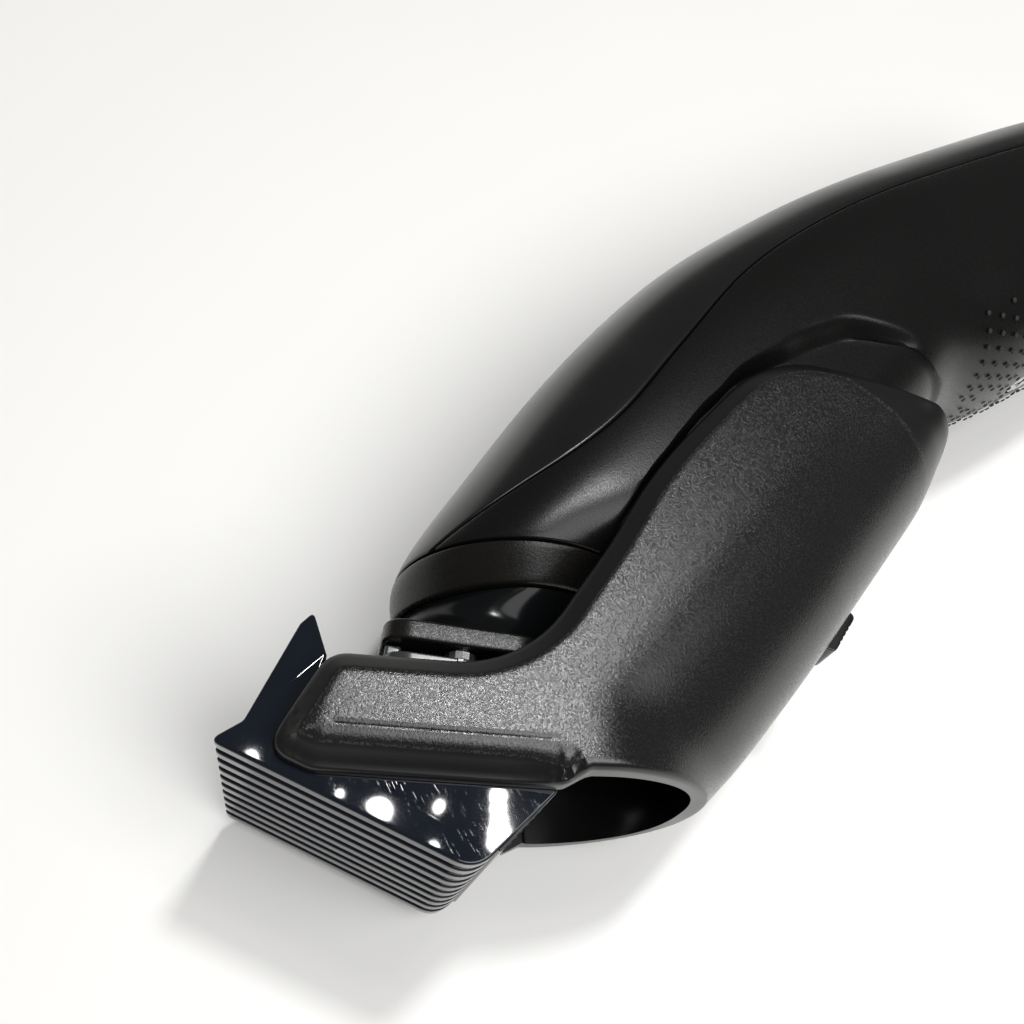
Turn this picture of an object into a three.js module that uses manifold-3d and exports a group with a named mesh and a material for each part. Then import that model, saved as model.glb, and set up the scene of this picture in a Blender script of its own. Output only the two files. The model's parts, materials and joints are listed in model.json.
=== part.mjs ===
// A cordless hair clipper lying on its side, with its adjustable guide comb fitted.
// Millimetres. Plan view: +X runs along the handle to the tail, +Y from the belly to the rear cover.
// +Z is the clipper's width, so the mid-plane of the symmetric object is horizontal, at height MID.

import * as THREE from "three";
import { mergeVertices } from "three/addons/utils/BufferGeometryUtils.js";
import Module from "manifold-3d";

const wasm = await Module();
wasm.setup();

// ---------------------------------------------------------------- driving dimensions
const WIDTH = 48; // over the comb carrier, which is the widest piece
const MID = WIDTH / 2;
const WALL = 2.2; // housing wall
const GAP = 0.3; // clearance between neighbouring pieces
const HEAD_ANGLE = -35.2; // degrees in plan, along the cutting unit's depth
const COMB_ANGLE = -54; // degrees in plan, along the comb's skin face
const MOTOR_ANGLE = 30; // degrees in plan, along the motor shaft into the body
const HEAD_CENTRE = [41, 34.55]; // middle of the head plate's outer face in plan

// The handle's two outlines in plan, its width and how square its cross-section is, from the
// mouth at the head to the tail. The exponent 2 is an ellipse.
const REAR_OUTLINE = [
  [37.5, 44], [40.2, 48.6], [56, 57.4], [75, 66.4], [96, 73.6],
  [118, 76.8], [131, 77.4], [145, 77.4], [180, 75], [196, 70.5], [203, 64],
];
const BELLY_OUTLINE = [
  [65.5, 28.5], [68.5, 31], [77, 27.3], [90, 25.2], [105, 28],
  [120, 33.4], [130, 36.8], [146, 35.4], [181, 38.5], [197, 43.5], [203, 50],
];
const HANDLE_WIDTHS = [33, 39, 42.6, 44, 44.4, 44.2, 43.8, 43, 40, 33, 17];
const HANDLE_SQUARENESS = [1.8, 2, 2.3, 2.5, 2.5, 2.5, 2.5, 2.5, 2.5, 2.4, 2.2];
const TAIL_X = 203;
const END_CAP_X = 192;

// The parting line between rear cover and front housing, in plan.
const SEAM = [
  [30, 45.8], [40.3, 46.7], [55.5, 47.8], [65.2, 48.7], [73.2, 50.6],
  [86.2, 56.2], [104, 63.5], [122, 66.5], [150, 66.5], [180, 64], [210, 60],
];

// The comb carrier: the inner edge of its arms and its belly, from the chute to the tail end.
const ARM_EDGE = [
  [39.5, 14.6], [44.5, 25.6], [50.5, 29.8], [60.5, 34.8], [70.7, 40.5],
  [81.8, 44.8], [92, 47.5], [99, 46.2], [105, 41.9], [110.6, 36.6],
];
const CARRIER_BELLY = [
  [60.6, 3.2], [63.2, 3.9], [67.7, 5.2], [75.2, 7.9], [83.8, 11.2],
  [94, 15.4], [102.5, 18.9], [110, 22.1], [115.2, 24.7], [119, 27],
];
const CARRIER_SQUARENESS = [2.1, 2.7]; // of the cross-section, at the chute and at the tail end
const ARM_INNER = 20.2; // half the clear width between the arms
const CARRIER_WALL = 2.2;
const FINGER_INNER = 19.45;
const FINGER_OUTER = 23.5;
const RECESS_HALF_WIDTH = 19; // the housing is this slim where the arms slide

// The length latch in the carrier's belly, in axes whose x runs along the carrier's slide.
const SLIDE_ANGLE = 26; // degrees in plan
const LATCH_POINT = [92.3, 14.6]; // on the belly, in the middle of the thumb pad
const LATCH_PIVOT = [-7, 4.8];
const PAWL_X = -14;
const PAWL_TIP = 6.8;
const RACK_PITCH = 3;
const RACK_TEETH = 6;
const NOTCHES_AHEAD = 4; // from the rack's head end to the pawl's notch at rest
const TOOTH_HEIGHT = 0.7;
const RACK_FLOOR = PAWL_TIP + 0.2 + TOOTH_HEIGHT;

// The guide comb, in its own axes: x along the skin face, y away from the skin.
const TOOTH_PITCH = 4;
const TOOTH_COUNT = 10;
const TOOTH_THICKNESS = 2.3;
const COMB_HALF_WIDTH = ((TOOTH_COUNT - 1) * TOOTH_PITCH + TOOTH_THICKNESS) / 2;

// The cutting unit, in the head's axes: x towards the belly, y into the body, z across.
const PLATE_DEPTH = 19.3;
const PLATE_WIDTH = 36;
const PLATE_THICKNESS = 2.5;
const BLADE_PITCH = 2;
const LEVER_PIVOT_X = 2.5;
const LEVER_TIP_X = -4;
const FORK_X = 8.5;
const CAM_THROW = 1.2;

// ---------------------------------------------------------------- materials
const finish = (color, roughness, metalness = 0) =>
  new THREE.MeshStandardMaterial({ color, roughness, metalness });
const satinBlack = finish(0x1d1e1f, 0.55);
const smoothBlack = finish(0x141516, 0.38);
const glossBlack = finish(0x0d1014, 0.08);
const softGrip = finish(0x2b2c2c, 0.75);
const smokeGrey = finish(0x4b5054, 0.3);
const innerPlastic = finish(0x3a3c3e, 0.6);
const blackNylon = finish(0x17181a, 0.5);
const steel = finish(0xb9bbbd, 0.28, 1);
const zincSteel = finish(0x8d9092, 0.4, 1);
const cellWrap = finish(0x2f5a46, 0.45);
const boardGreen = finish(0x1e4a33, 0.6);
const lampGreen = finish(0x9fd6a8, 0.2);

// ---------------------------------------------------------------- solids and booleans
const radians = THREE.MathUtils.degToRad;

// Turns a closed geometry into a manifold-3d solid.
function solid(geometry) {
  const bare = new THREE.BufferGeometry();
  bare.setAttribute("position", geometry.getAttribute("position"));
  bare.setIndex(geometry.getIndex());
  const merged = mergeVertices(bare.index ? bare.toNonIndexed() : bare, 1e-4);
  return new wasm.Manifold(
    new wasm.Mesh({
      numProp: 3,
      vertProperties: merged.attributes.position.array,
      triVerts: new Uint32Array(merged.index.array),
    }),
  );
}

function geometryOf(made) {
  const { vertProperties, numProp, triVerts, numVert } = made.getMesh();
  const positions = new Float32Array(numVert * 3);
  for (let i = 0; i < numVert; i++) {
    positions.set(vertProperties.subarray(i * numProp, i * numProp + 3), i * 3);
  }
  const geometry = new THREE.BufferGeometry();
  geometry.setAttribute("position", new THREE.BufferAttribute(positions, 3));
  geometry.setIndex(new THREE.BufferAttribute(triVerts, 1));
  geometry.computeVertexNormals();
  return geometry;
}

const unite = (first, ...others) => others.reduce((sum, next) => sum.add(next), first);
const cut = (first, ...tools) => tools.reduce((rest, tool) => rest.subtract(tool), first);

// Skins a closed solid over rings with equal point counts. capOf lists one ring's cap triangles.
function loft(rings, capOf) {
  const count = rings[0].length;
  const positions = rings.flat().flatMap((p) => [p.x, p.y, p.z]);
  const index = [];
  for (let i = 0; i + 1 < rings.length; i++) {
    for (let j = 0; j < count; j++) {
      const a = i * count + j;
      const b = i * count + ((j + 1) % count);
      index.push(a, b, b + count, a, b + count, a + count);
    }
  }
  const last = (rings.length - 1) * count;
  for (const [a, b, c] of capOf(count)) {
    index.push(a, c, b, last + a, last + b, last + c);
  }
  const geometry = new THREE.BufferGeometry();
  geometry.setAttribute("position", new THREE.BufferAttribute(new Float32Array(positions), 3));
  geometry.setIndex(index);
  const made = solid(geometry);
  if (made.volume() > 0) return made;
  geometry.setIndex(index.reverse());
  return solid(geometry);
}

const fanCap = (count) => Array.from({ length: count - 2 }, (_, i) => [0, i + 1, i + 2]);

// The cap of a C-shaped ring, whose first half runs round outside and second half back inside.
function stripCap(count) {
  const triangles = [];
  for (let i = 0; i + 1 < count / 2; i++) {
    const inner = count - 1 - i;
    triangles.push([i, i + 1, inner - 1], [i, inner - 1, inner]);
  }
  return triangles;
}

// A closed outline of [x, y, corner radius] entries, with each corner rounded off.
function roundedOutline(corners) {
  const shape = new THREE.Shape();
  corners.forEach(([x, y, radius], i) => {
    const here = new THREE.Vector2(x, y);
    const before = new THREE.Vector2(...corners.at(i - 1).slice(0, 2)).sub(here);
    const after = new THREE.Vector2(...corners[(i + 1) % corners.length].slice(0, 2)).sub(here);
    const bend = Math.PI - Math.abs(before.angleTo(after));
    const reach = Math.min(radius * Math.tan(bend / 2), before.length() / 2, after.length() / 2);
    const start = before.setLength(reach).add(here);
    const end = after.setLength(reach).add(here);
    if (i === 0) shape.moveTo(start.x, start.y);
    else shape.lineTo(start.x, start.y);
    shape.quadraticCurveTo(x, y, end.x, end.y);
  });
  return shape;
}

const rectangle = (x0, y0, x1, y1, radius = 0.01) =>
  roundedOutline([[x0, y0, radius], [x1, y0, radius], [x1, y1, radius], [x0, y1, radius]]);

// Extrudes a plan outline between two heights.
function plate(shape, z0, z1, curveSegments = 4) {
  const options = { depth: z1 - z0, bevelEnabled: false, curveSegments };
  return solid(new THREE.ExtrudeGeometry(shape, options).translate(0, 0, z0));
}

// Extrudes an outline drawn in x and z between two values of y.
function slab(shape, y0, y1, curveSegments = 4) {
  const options = { depth: y1 - y0, bevelEnabled: false, curveSegments };
  const geometry = new THREE.ExtrudeGeometry(shape, options);
  return solid(geometry.rotateX(Math.PI / 2).translate(0, y1, 0));
}

const box = (x0, y0, z0, x1, y1, z1) =>
  solid(
    new THREE.BoxGeometry(x1 - x0, y1 - y0, z1 - z0).translate(
      (x0 + x1) / 2, (y0 + y1) / 2, (z0 + z1) / 2,
    ),
  );

// A cylinder along y, then one along x.
const yRod = (radius, x, z, y0, y1, sides = 16) =>
  solid(new THREE.CylinderGeometry(radius, radius, y1 - y0, sides).translate(x, (y0 + y1) / 2, z));
const xRod = (radius, y, z, x0, x1, sides = 16) =>
  solid(
    new THREE.CylinderGeometry(radius, radius, x1 - x0, sides)
      .rotateZ(Math.PI / 2)
      .translate((x0 + x1) / 2, y, z),
  );

// ---------------------------------------------------------------- groups
const clipper = new THREE.Group();

function frameAt([x, y], degrees) {
  const group = new THREE.Group();
  group.position.set(x, y, MID);
  group.rotation.z = radians(degrees);
  clipper.add(group);
  return group;
}

const bodyFrame = frameAt([0, 0], 0);
const headFrame = frameAt(HEAD_CENTRE, HEAD_ANGLE);
const combFrame = frameAt([0, 0], COMB_ANGLE);

function add(frame, name, made, material) {
  const mesh = new THREE.Mesh(geometryOf(made), material);
  mesh.name = name;
  frame.add(mesh);
  return mesh;
}

// ---------------------------------------------------------------- the handle's form
const planCurve = (points) =>
  new THREE.CatmullRomCurve3(points.map(([x, y]) => new THREE.Vector3(x, y, 0)), false, "centripetal");
const rearCurve = planCurve(REAR_OUTLINE);
const bellyCurve = planCurve(BELLY_OUTLINE);
const widthCurve = planCurve(HANDLE_WIDTHS.map((width, i) => [i, width]));
const squarenessCurve = planCurve(HANDLE_SQUARENESS.map((value, i) => [i, value]));

const power = (value, exponent) => Math.sign(value) * Math.abs(value) ** exponent;

// A rounded cross-section in the upright plane through two plan points.
function sectionRing(rear, belly, halfWidth, squareness, inset = 0, widthLimit = Infinity) {
  const centre = rear.clone().lerp(belly, 0.5);
  const across = rear.clone().sub(belly);
  const halfDepth = across.length() / 2 - inset;
  const half = Math.min(halfWidth - inset, widthLimit);
  across.normalize();
  const sides = 24;
  return Array.from({ length: sides }, (_, i) => {
    const angle = (2 * Math.PI * i) / sides;
    const u = halfDepth * power(Math.cos(angle), 2 / squareness);
    const w = half * power(Math.sin(angle), 2 / squareness);
    return centre.clone().addScaledVector(across, u).setZ(w);
  });
}

const handleRing = (t, inset, widthLimit) =>
  sectionRing(rearCurve.getPoint(t), bellyCurve.getPoint(t), widthCurve.getPoint(t).y / 2,
    squarenessCurve.getPoint(t).y, inset, widthLimit);

function handleForm(inset, from = 0, to = 1, widthLimit = Infinity) {
  const stations = 21;
  const rings = Array.from({ length: stations }, (_, i) =>
    handleRing(from + ((to - from) * i) / (stations - 1), inset, widthLimit),
  );
  return loft(rings, fanCap);
}

// Everything in plan on the rear side of the parting line, moved by an offset in y.
function rearRegion(offset) {
  const seam = planCurve(SEAM).getPoints(24);
  const shape = new THREE.Shape(seam.map((p) => new THREE.Vector2(p.x, p.y + offset)));
  shape.lineTo(215, 95);
  shape.lineTo(25, 95);
  return plate(shape, -40, 40);
}

// The plan area that the carrier's arms sweep, cut into both sides of the handle.
function armRecess() {
  const shape = roundedOutline([
    [30, 26, 1], [46, 28.2, 4], [58.6, 34.6, 20], [70.3, 41.4, 20], [81.4, 46.4, 20],
    [92, 49.9, 14], [103, 51.4, 8], [110.5, 50.8, 8], [119.5, 44.6, 12], [127, 36, 10],
    [128.5, 24, 8], [127, 5, 1], [30, 5, 1],
  ]);
  const above = plate(shape, RECESS_HALF_WIDTH, 40, 3);
  const below = plate(shape, -40, -RECESS_HALF_WIDTH, 3);
  return unite(above, below);
}

// Everything in plan on the head side of the head ring's upper edge, pushed along the body.
function headRegion(push) {
  const rear = new THREE.Vector2(...REAR_OUTLINE[1]);
  const belly = new THREE.Vector2(...BELLY_OUTLINE[1]);
  const along = belly.clone().sub(rear).normalize();
  const shift = new THREE.Vector2(-along.y, along.x).multiplyScalar(push);
  const corners = [
    rear.addScaledVector(along, -20).add(shift), belly.addScaledVector(along, 20).add(shift),
    new THREE.Vector2(70, 0), new THREE.Vector2(0, 0), new THREE.Vector2(0, 50),
  ];
  return plate(new THREE.Shape(corners), -40, 40);
}

const outerForm = handleForm(0);
const cavityWidth = RECESS_HALF_WIDTH - 1.6;
// The cavity runs on ahead of the mouth, so that the housing is open there.
const cavity = unite(
  handleForm(WALL, 0, 0.955, cavityWidth),
  loft([
    handleRing(0, WALL, cavityWidth).map((p) => p.add(new THREE.Vector3(-4, -6, 0))),
    handleRing(0.01, WALL, cavityWidth),
  ], fanCap),
);
const tailRegion = box(END_CAP_X, 0, -40, 230, 100, 40);
const wholeShell = cut(outerForm, cavity);
const shellBody = cut(wholeShell, armRecess(), headRegion(GAP / 2));

// ---------------------------------------------------------------- soft grip on the handle's belly
const GRIP_DEPTH = 1.2;
const gripShape = (grow) =>
  roundedOutline([
    [137 - grow, 50 + grow, 4], [186 + grow, 50 + grow, 4], [188 + grow, 20, 4], [127 - grow, 20, 4],
  ]);
const gripRegion = (grow) => plate(gripShape(grow), -40, 40);
const gripPad = cut(outerForm, handleForm(GRIP_DEPTH)).intersect(gripRegion(0));
const gripSeat = cut(gripRegion(GAP), handleForm(GRIP_DEPTH + GAP));

// ---------------------------------------------------------------- power switch on the rear cover
const SWITCH_X = [138, 150];
const SWITCH_TRAVEL = 4;
const SWITCH_HALF_WIDTH = 4.5;
const SWITCH_TOP = 79.6;
const switchSlot = box(SWITCH_X[0] - 0.5, 70, -SWITCH_HALF_WIDTH - 0.4,
  SWITCH_X[1] + SWITCH_TRAVEL + 0.5, 90, SWITCH_HALF_WIDTH + 0.4);

function powerSlider() {
  const [x0, x1] = SWITCH_X;
  const knob = plate(roundedOutline([[x0, 73.2, 0.3], [x1, 73.2, 0.3], [x1, SWITCH_TOP, 1.4],
    [x0, SWITCH_TOP, 1.4]]), -SWITCH_HALF_WIDTH, SWITCH_HALF_WIDTH);
  const ridges = Array.from({ length: 4 }, (_, i) =>
    box(x0 + 2.8 + 2 * i, SWITCH_TOP - 0.5, -5, x0 + 3.4 + 2 * i, SWITCH_TOP + 1, 5));
  const foot = box(x0 - 3, 71, -3, x1 + 3, 73.4, 3);
  return cut(unite(knob, foot), ...ridges);
}

// ---------------------------------------------------------------- housing screws
const SCREW_X = [150, 176];
const screwY = (x) => (x < 160 ? 34.5 : 38);
const screwHole = (x) => yRod(3.1, x, 0, 20, screwY(x) + 12, 16);
function housingScrew(x) {
  const y = screwY(x);
  const head = yRod(2.7, x, 0, y + 1, y + 3, 16);
  const shank = yRod(1.3, x, 0, y + 2.9, y + 10, 10);
  const crossA = box(x - 1.7, y, -0.35, x + 1.7, y + 1.9, 0.35);
  const crossB = box(x - 0.35, y, -1.7, x + 0.35, y + 1.9, 1.7);
  return cut(unite(head, shank), crossA, crossB);
}

// ---------------------------------------------------------------- casings
const lampHole = yRod(1.6, 164, 0, 70, 90, 12);
const inletHole = box(END_CAP_X - 2, 55.2, -4.2, TAIL_X + 2, 58.8, 4.2);
const frontShell = cut(shellBody, rearRegion(-GAP / 2), tailRegion, gripSeat,
  ...SCREW_X.map(screwHole));
const rearShell = cut(shellBody.intersect(rearRegion(GAP / 2)), tailRegion, switchSlot, lampHole);
const capShell = cut(outerForm.intersect(box(END_CAP_X + GAP, 0, -40, 230, 100, 40)),
  handleForm(WALL, 0.5, 0.955), inletHole);

add(bodyFrame, "head_ring", wholeShell.intersect(headRegion(-GAP / 2)), satinBlack);
add(bodyFrame, "front_housing", frontShell, satinBlack);
add(bodyFrame, "rear_cover", rearShell, smoothBlack);
add(bodyFrame, "end_cap", capShell, smoothBlack);
add(bodyFrame, "grip_pad", cut(gripPad, ...SCREW_X.map(screwHole)), softGrip);
add(bodyFrame, "power_slider", powerSlider(), smoothBlack);
add(bodyFrame, "charge_lamp", yRod(1.3, 164, 0, 73, 76.9, 12), lampGreen);
SCREW_X.forEach((x, i) => add(bodyFrame, `housing_screw_${i + 1}`, housingScrew(x), zincSteel));

// ---------------------------------------------------------------- power, board and chassis
const CELL_RADIUS = 7.1;
const CELL_Y = 61;
const CELL_X = [104, 152];
function batteryCell(z) {
  const can = xRod(CELL_RADIUS, CELL_Y, z, CELL_X[0], CELL_X[1] - 1.5, 20);
  return unite(can, xRod(2.6, CELL_Y, z, CELL_X[1] - 2, CELL_X[1], 12));
}
add(bodyFrame, "battery_cell_left", batteryCell(CELL_RADIUS + 0.3), cellWrap);
add(bodyFrame, "battery_cell_right", batteryCell(-CELL_RADIUS - 0.3), cellWrap);
add(bodyFrame, "battery_link", box(CELL_X[0] - 0.8, 58.5, -10, CELL_X[0] - 0.4, 63.5, 10), zincSteel);
add(bodyFrame, "battery_tab", box(CELL_X[1] + 0.3, 58.5, -10, CELL_X[1] + 0.7, 63.5, 10), zincSteel);

// A tray under the cells with an upright lip at each end and two holes for its fixings.
function chassis() {
  const floor = box(98, 50.6, -15, 186, 52.4, 15);
  const lips = [box(98, 52, -14, 99.6, 62, 14), box(155, 52, -14, 156.6, 62, 14)];
  const holes = [108, 175].map((x) => yRod(1.6, x, 0, 48, 55, 10));
  return cut(unite(floor, ...lips), ...holes);
}
add(bodyFrame, "inner_chassis", chassis(), innerPlastic);
add(bodyFrame, "circuit_board", box(112, 46, -13, 172, 47.6, 13), boardGreen);
add(bodyFrame, "switch_contacts", box(138, 47.9, -3.4, 150, 50.3, 3.4), blackNylon);
add(bodyFrame, "control_chip", box(120, 48, -4, 128, 49.4, 4), blackNylon);

// The charging inlet behind the end cap: a shell with a flat tongue in it.
const inletShell = cut(box(189, 55.5, -3.9, 202, 58.5, 3.9), box(192.5, 56.1, -3.3, 204, 57.9, 3.3));
add(bodyFrame, "charging_inlet", inletShell, zincSteel);
add(bodyFrame, "inlet_tongue", box(192.8, 56.7, -2.6, 200.5, 57.3, 2.6), blackNylon);

// ---------------------------------------------------------------- motor and cam
const forkPoint = new THREE.Vector3(FORK_X, 6, 0)
  .applyAxisAngle(new THREE.Vector3(0, 0, 1), radians(HEAD_ANGLE))
  .add(new THREE.Vector3(...HEAD_CENTRE, 0));
const motorFrame = frameAt([forkPoint.x, forkPoint.y], MOTOR_ANGLE);
const MOTOR_RADIUS = 9.6;
const motorCan = cut(
  unite(xRod(MOTOR_RADIUS, 0, 0, 15.2, 41, 28), xRod(3.2, 0, 0, 41, 43, 16)),
  xRod(1.35, 0, 0, 10, 45, 16),
);
add(motorFrame, "motor_case", motorCan, zincSteel);

// A flat plate across the motor's nose, with a window for the shaft.
const bracket = cut(
  plate(rectangle(12.9, -6, 14.9, 9, 0.3), -11.5, 11.5),
  xRod(4, 0, 0, 11, 17, 20),
  xRod(1.2, 4, -9, 11, 17, 10), xRod(1.2, 4, 9, 11, 17, 10),
);
add(motorFrame, "motor_bracket", bracket, innerPlastic);
add(motorFrame, "motor_shaft", xRod(1, 0, 0, 5.4, 40, 14), steel);
const camDisc = cut(xRod(3.4, 0, 0, 4.6, 8.6, 20), xRod(1.2, 0, 0, 5.1, 12, 16));
add(motorFrame, "cam_pin", unite(camDisc, xRod(0.8, 0, CAM_THROW, -2.2, 4.8, 12)), steel);

// ---------------------------------------------------------------- neck and head plate
// The neck is a skewed tube from the head plate to the head ring's mouth, with a waist, and a
// spigot that plugs into the mouth.
const neckRing = ([rear, belly, halfWidth, squareness]) =>
  sectionRing(new THREE.Vector3(...rear, 0), new THREE.Vector3(...belly, 0), halfWidth, squareness);
const neckLoft = (...sections) => loft(sections.map(neckRing), fanCap);
const neckOuter = neckLoft(
  [[34.4, 39.6], [48.6, 29.6], 15.8, 3.2],
  [[35.6, 41.2], [55, 28.9], 14.9, 2.3],
  [[38, 43.3], [64.6, 28.6], 15.8, 1.8],
);
const spigot = neckLoft([[39.6, 41.7], [62.6, 29], 13.9, 1.8], [[43.4, 45.2], [64.6, 33.4], 14.6, 1.9]);
const neckInner = neckLoft(
  [[35.2, 37.4], [46.4, 29.6], 12.8, 3],
  [[37.8, 40.4], [53, 30.8], 12.6, 2.3],
  [[41.2, 41.2], [61.2, 30.2], 12.3, 1.8],
  [[45.4, 47], [63.6, 37], 12.9, 1.9],
);
const plateShape = rectangle(-PLATE_DEPTH / 2, -PLATE_WIDTH / 2, PLATE_DEPTH / 2, PLATE_WIDTH / 2, 3.6);
const shaftHole = yRod(2.7, LEVER_PIVOT_X, 0, -5, 3, 20);
const PLATE_SCREW_Z = 15;
const plateScrewHole = (z) => yRod(1.3, 0, z, -5, 1, 12);
const headPlate = cut(slab(plateShape, -PLATE_THICKNESS, 0), shaftHole,
  plateScrewHole(PLATE_SCREW_Z), plateScrewHole(-PLATE_SCREW_Z));
add(bodyFrame, "neck", cut(unite(neckOuter, spigot), neckInner), smoothBlack);
add(headFrame, "head_plate", headPlate, satinBlack);
[-1, 1].forEach((side, i) => {
  const screw = cut(
    unite(yRod(1.1, 0, side * PLATE_SCREW_Z, -3.1, -0.4, 12),
      yRod(1.9, 0, side * PLATE_SCREW_Z, -3.7, -2.8, 14)),
    box(-1.3, -4, side * PLATE_SCREW_Z - 0.25, 1.3, -3.3, side * PLATE_SCREW_Z + 0.25),
  );
  add(headFrame, `plate_screw_${i + 1}`, screw, zincSteel);
});

// ---------------------------------------------------------------- drive lever
const FORK_SLOT = 6.8;
function driveLever() {
  const shaft = yRod(2, LEVER_PIVOT_X, 0, -3.4, 6.6, 16);
  const forkBlank = slab(rectangle(LEVER_PIVOT_X - 2, -FORK_SLOT / 2 - 1.3, FORK_X + 1.6,
    FORK_SLOT / 2 + 1.3, 1), 4.8, 6.8);
  const forkSlot = box(LEVER_PIVOT_X + 2.6, 3, -FORK_SLOT / 2, FORK_X + 9, 8, FORK_SLOT / 2);
  const arm = slab(rectangle(LEVER_TIP_X - 1.4, -1.4, LEVER_PIVOT_X + 2, 1.4, 1.2), -3.6, -2.8);
  const tip = yRod(0.9, LEVER_TIP_X, 0, -6.3, -3, 12);
  return unite(shaft, cut(forkBlank, forkSlot), arm, tip);
}
add(headFrame, "drive_lever", driveLever(), blackNylon);

// ---------------------------------------------------------------- cutting unit
const FRAME_BOTTOM = -6.7;
function cutterFrame() {
  const outer = slab(rectangle(-9.1, -17.4, 9.1, 17.4, 3.2), FRAME_BOTTOM, -3.9);
  const window = box(-7, -8, -14.6, 4.2, -2, 14.6);
  const hinge = slab(rectangle(-9.1, -15.4, -7.2, 15.4, 0.4), -4, -PLATE_THICKNESS - GAP);
  const ribs = [-1, 1].map((side) =>
    box(-0.6, -6.2, side * 17.2 - 0.5, 0.2, -4.2, side * 17.2 + 0.5));
  const bosses = [-1, 1].map((side) => yRod(2.2, 6.4, side * 12, -7.5, FRAME_BOTTOM + 0.5, 14));
  const threads = [-1, 1].map((side) => yRod(0.95, 6.4, side * 12, -8, -4.6, 12));
  return cut(unite(cut(outer, window), hinge, ...ribs, ...bosses), ...threads);
}
add(headFrame, "cutter_frame", cutterFrame(), smokeGrey);

// A blade outline in x and z: a straight back, and teeth with slanted flanks along the rear edge.
function bladeShape(tipX, rootX, backX, teeth, tipWidth) {
  const shape = new THREE.Shape();
  const half = (teeth * BLADE_PITCH) / 2;
  shape.moveTo(backX, -half);
  shape.lineTo(backX, half);
  for (let i = teeth - 1; i >= 0; i--) {
    const middle = -half + (i + 0.5) * BLADE_PITCH;
    shape.lineTo(rootX, middle + tipWidth);
    shape.lineTo(tipX, middle + tipWidth / 2);
    shape.lineTo(tipX, middle - tipWidth / 2);
    shape.lineTo(rootX, middle - tipWidth);
  }
  return shape;
}
const bladeScrewHole = (side) => yRod(1.15, 6.4, side * 12, -10, -6, 12);
const fixedBlade = cut(slab(bladeShape(-11.6, -7.6, 8.6, 17, 0.7), -8.6, -7.8),
  bladeScrewHole(1), bladeScrewHole(-1));
add(headFrame, "fixed_blade", fixedBlade, steel);
[-1, 1].forEach((side, i) => {
  const z = side * 12;
  const screw = unite(yRod(0.7, 6.4, z, -8.9, -5.2, 10), yRod(1.7, 6.4, z, -9.6, -8.8, 14));
  add(headFrame, `blade_screw_${i + 1}`,
    cut(screw, box(5.2, -9.9, z - 0.22, 7.6, -9.2, z + 0.22)), zincSteel);
});
add(headFrame, "moving_blade", slab(bladeShape(-11, -7.4, 1.6, 15, 0.6), -7.6, -6.95), steel);
const bridge = cut(
  slab(rectangle(-6, -9, 1, 9, 1), -6.65, -5.1),
  box(-6.5, -7, -1.2, -1.8, -5, 1.2),
);
add(headFrame, "blade_bridge", bridge, blackNylon);

// A bent wire that presses the moving blade down: two arms from the front edge over the bridge.
function bladeSpring() {
  const path = new THREE.CatmullRomCurve3([
    [-3.2, -11.6], [-0.5, -8], [2.6, -5], [3.4, 0], [2.6, 5], [-0.5, 8], [-3.2, 11.6],
  ].map(([x, z]) => new THREE.Vector3(x, -4.5, z)), false, "centripetal");
  const section = new THREE.Shape().absarc(0, 0, 0.35, 0, 2 * Math.PI);
  return solid(new THREE.ExtrudeGeometry(section, {
    steps: 24, extrudePath: path, bevelEnabled: false, curveSegments: 4,
  }));
}
add(headFrame, "blade_spring", bladeSpring(), steel);

// ---------------------------------------------------------------- guide comb
const combTooth = roundedOutline([
  [-23.5, 28, 0.8], [8.9, 28, 4], [13.6, 39.8, 0.4], [11.5, 40.6, 0.4], [7.8, 32, 2.5],
  [-15.6, 32, 3], [-16.6, 42.4, 0.6], [-20.4, 46.4, 0.5], [-21.1, 44.4, 0.8], [-21.2, 31.6, 1.5],
]);
// The two end plates are filled in as far as the carrier's fingers.
const endTooth = roundedOutline([
  [-23.5, 28, 0.8], [8.9, 28, 4], [13.6, 39.8, 1], [12.6, 42, 1], [-12.5, 32.4, 6],
  [-15.4, 33.2, 1.5], [-16.6, 42.4, 0.6], [-20.4, 46.4, 0.5], [-21.1, 44.4, 0.8],
  [-21.2, 31.6, 1.5],
]);
function guideComb() {
  const teeth = Array.from({ length: TOOTH_COUNT }, (_, i) => {
    const z = (i - (TOOTH_COUNT - 1) / 2) * TOOTH_PITCH;
    const outline = i === 0 || i === TOOTH_COUNT - 1 ? endTooth : combTooth;
    return plate(outline, z - TOOTH_THICKNESS / 2, z + TOOTH_THICKNESS / 2, 3);
  });
  const rearWall = roundedOutline([
    [9.7, 31.4, 0.5], [10.4, 31, 0.5], [13.5, 39.6, 0.4], [11.6, 40.4, 0.4], [8.6, 33.2, 0.5],
  ]);
  return unite(plate(rearWall, -COMB_HALF_WIDTH, COMB_HALF_WIDTH, 2), ...teeth);
}
add(combFrame, "guide_comb", guideComb(), glossBlack);

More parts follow.
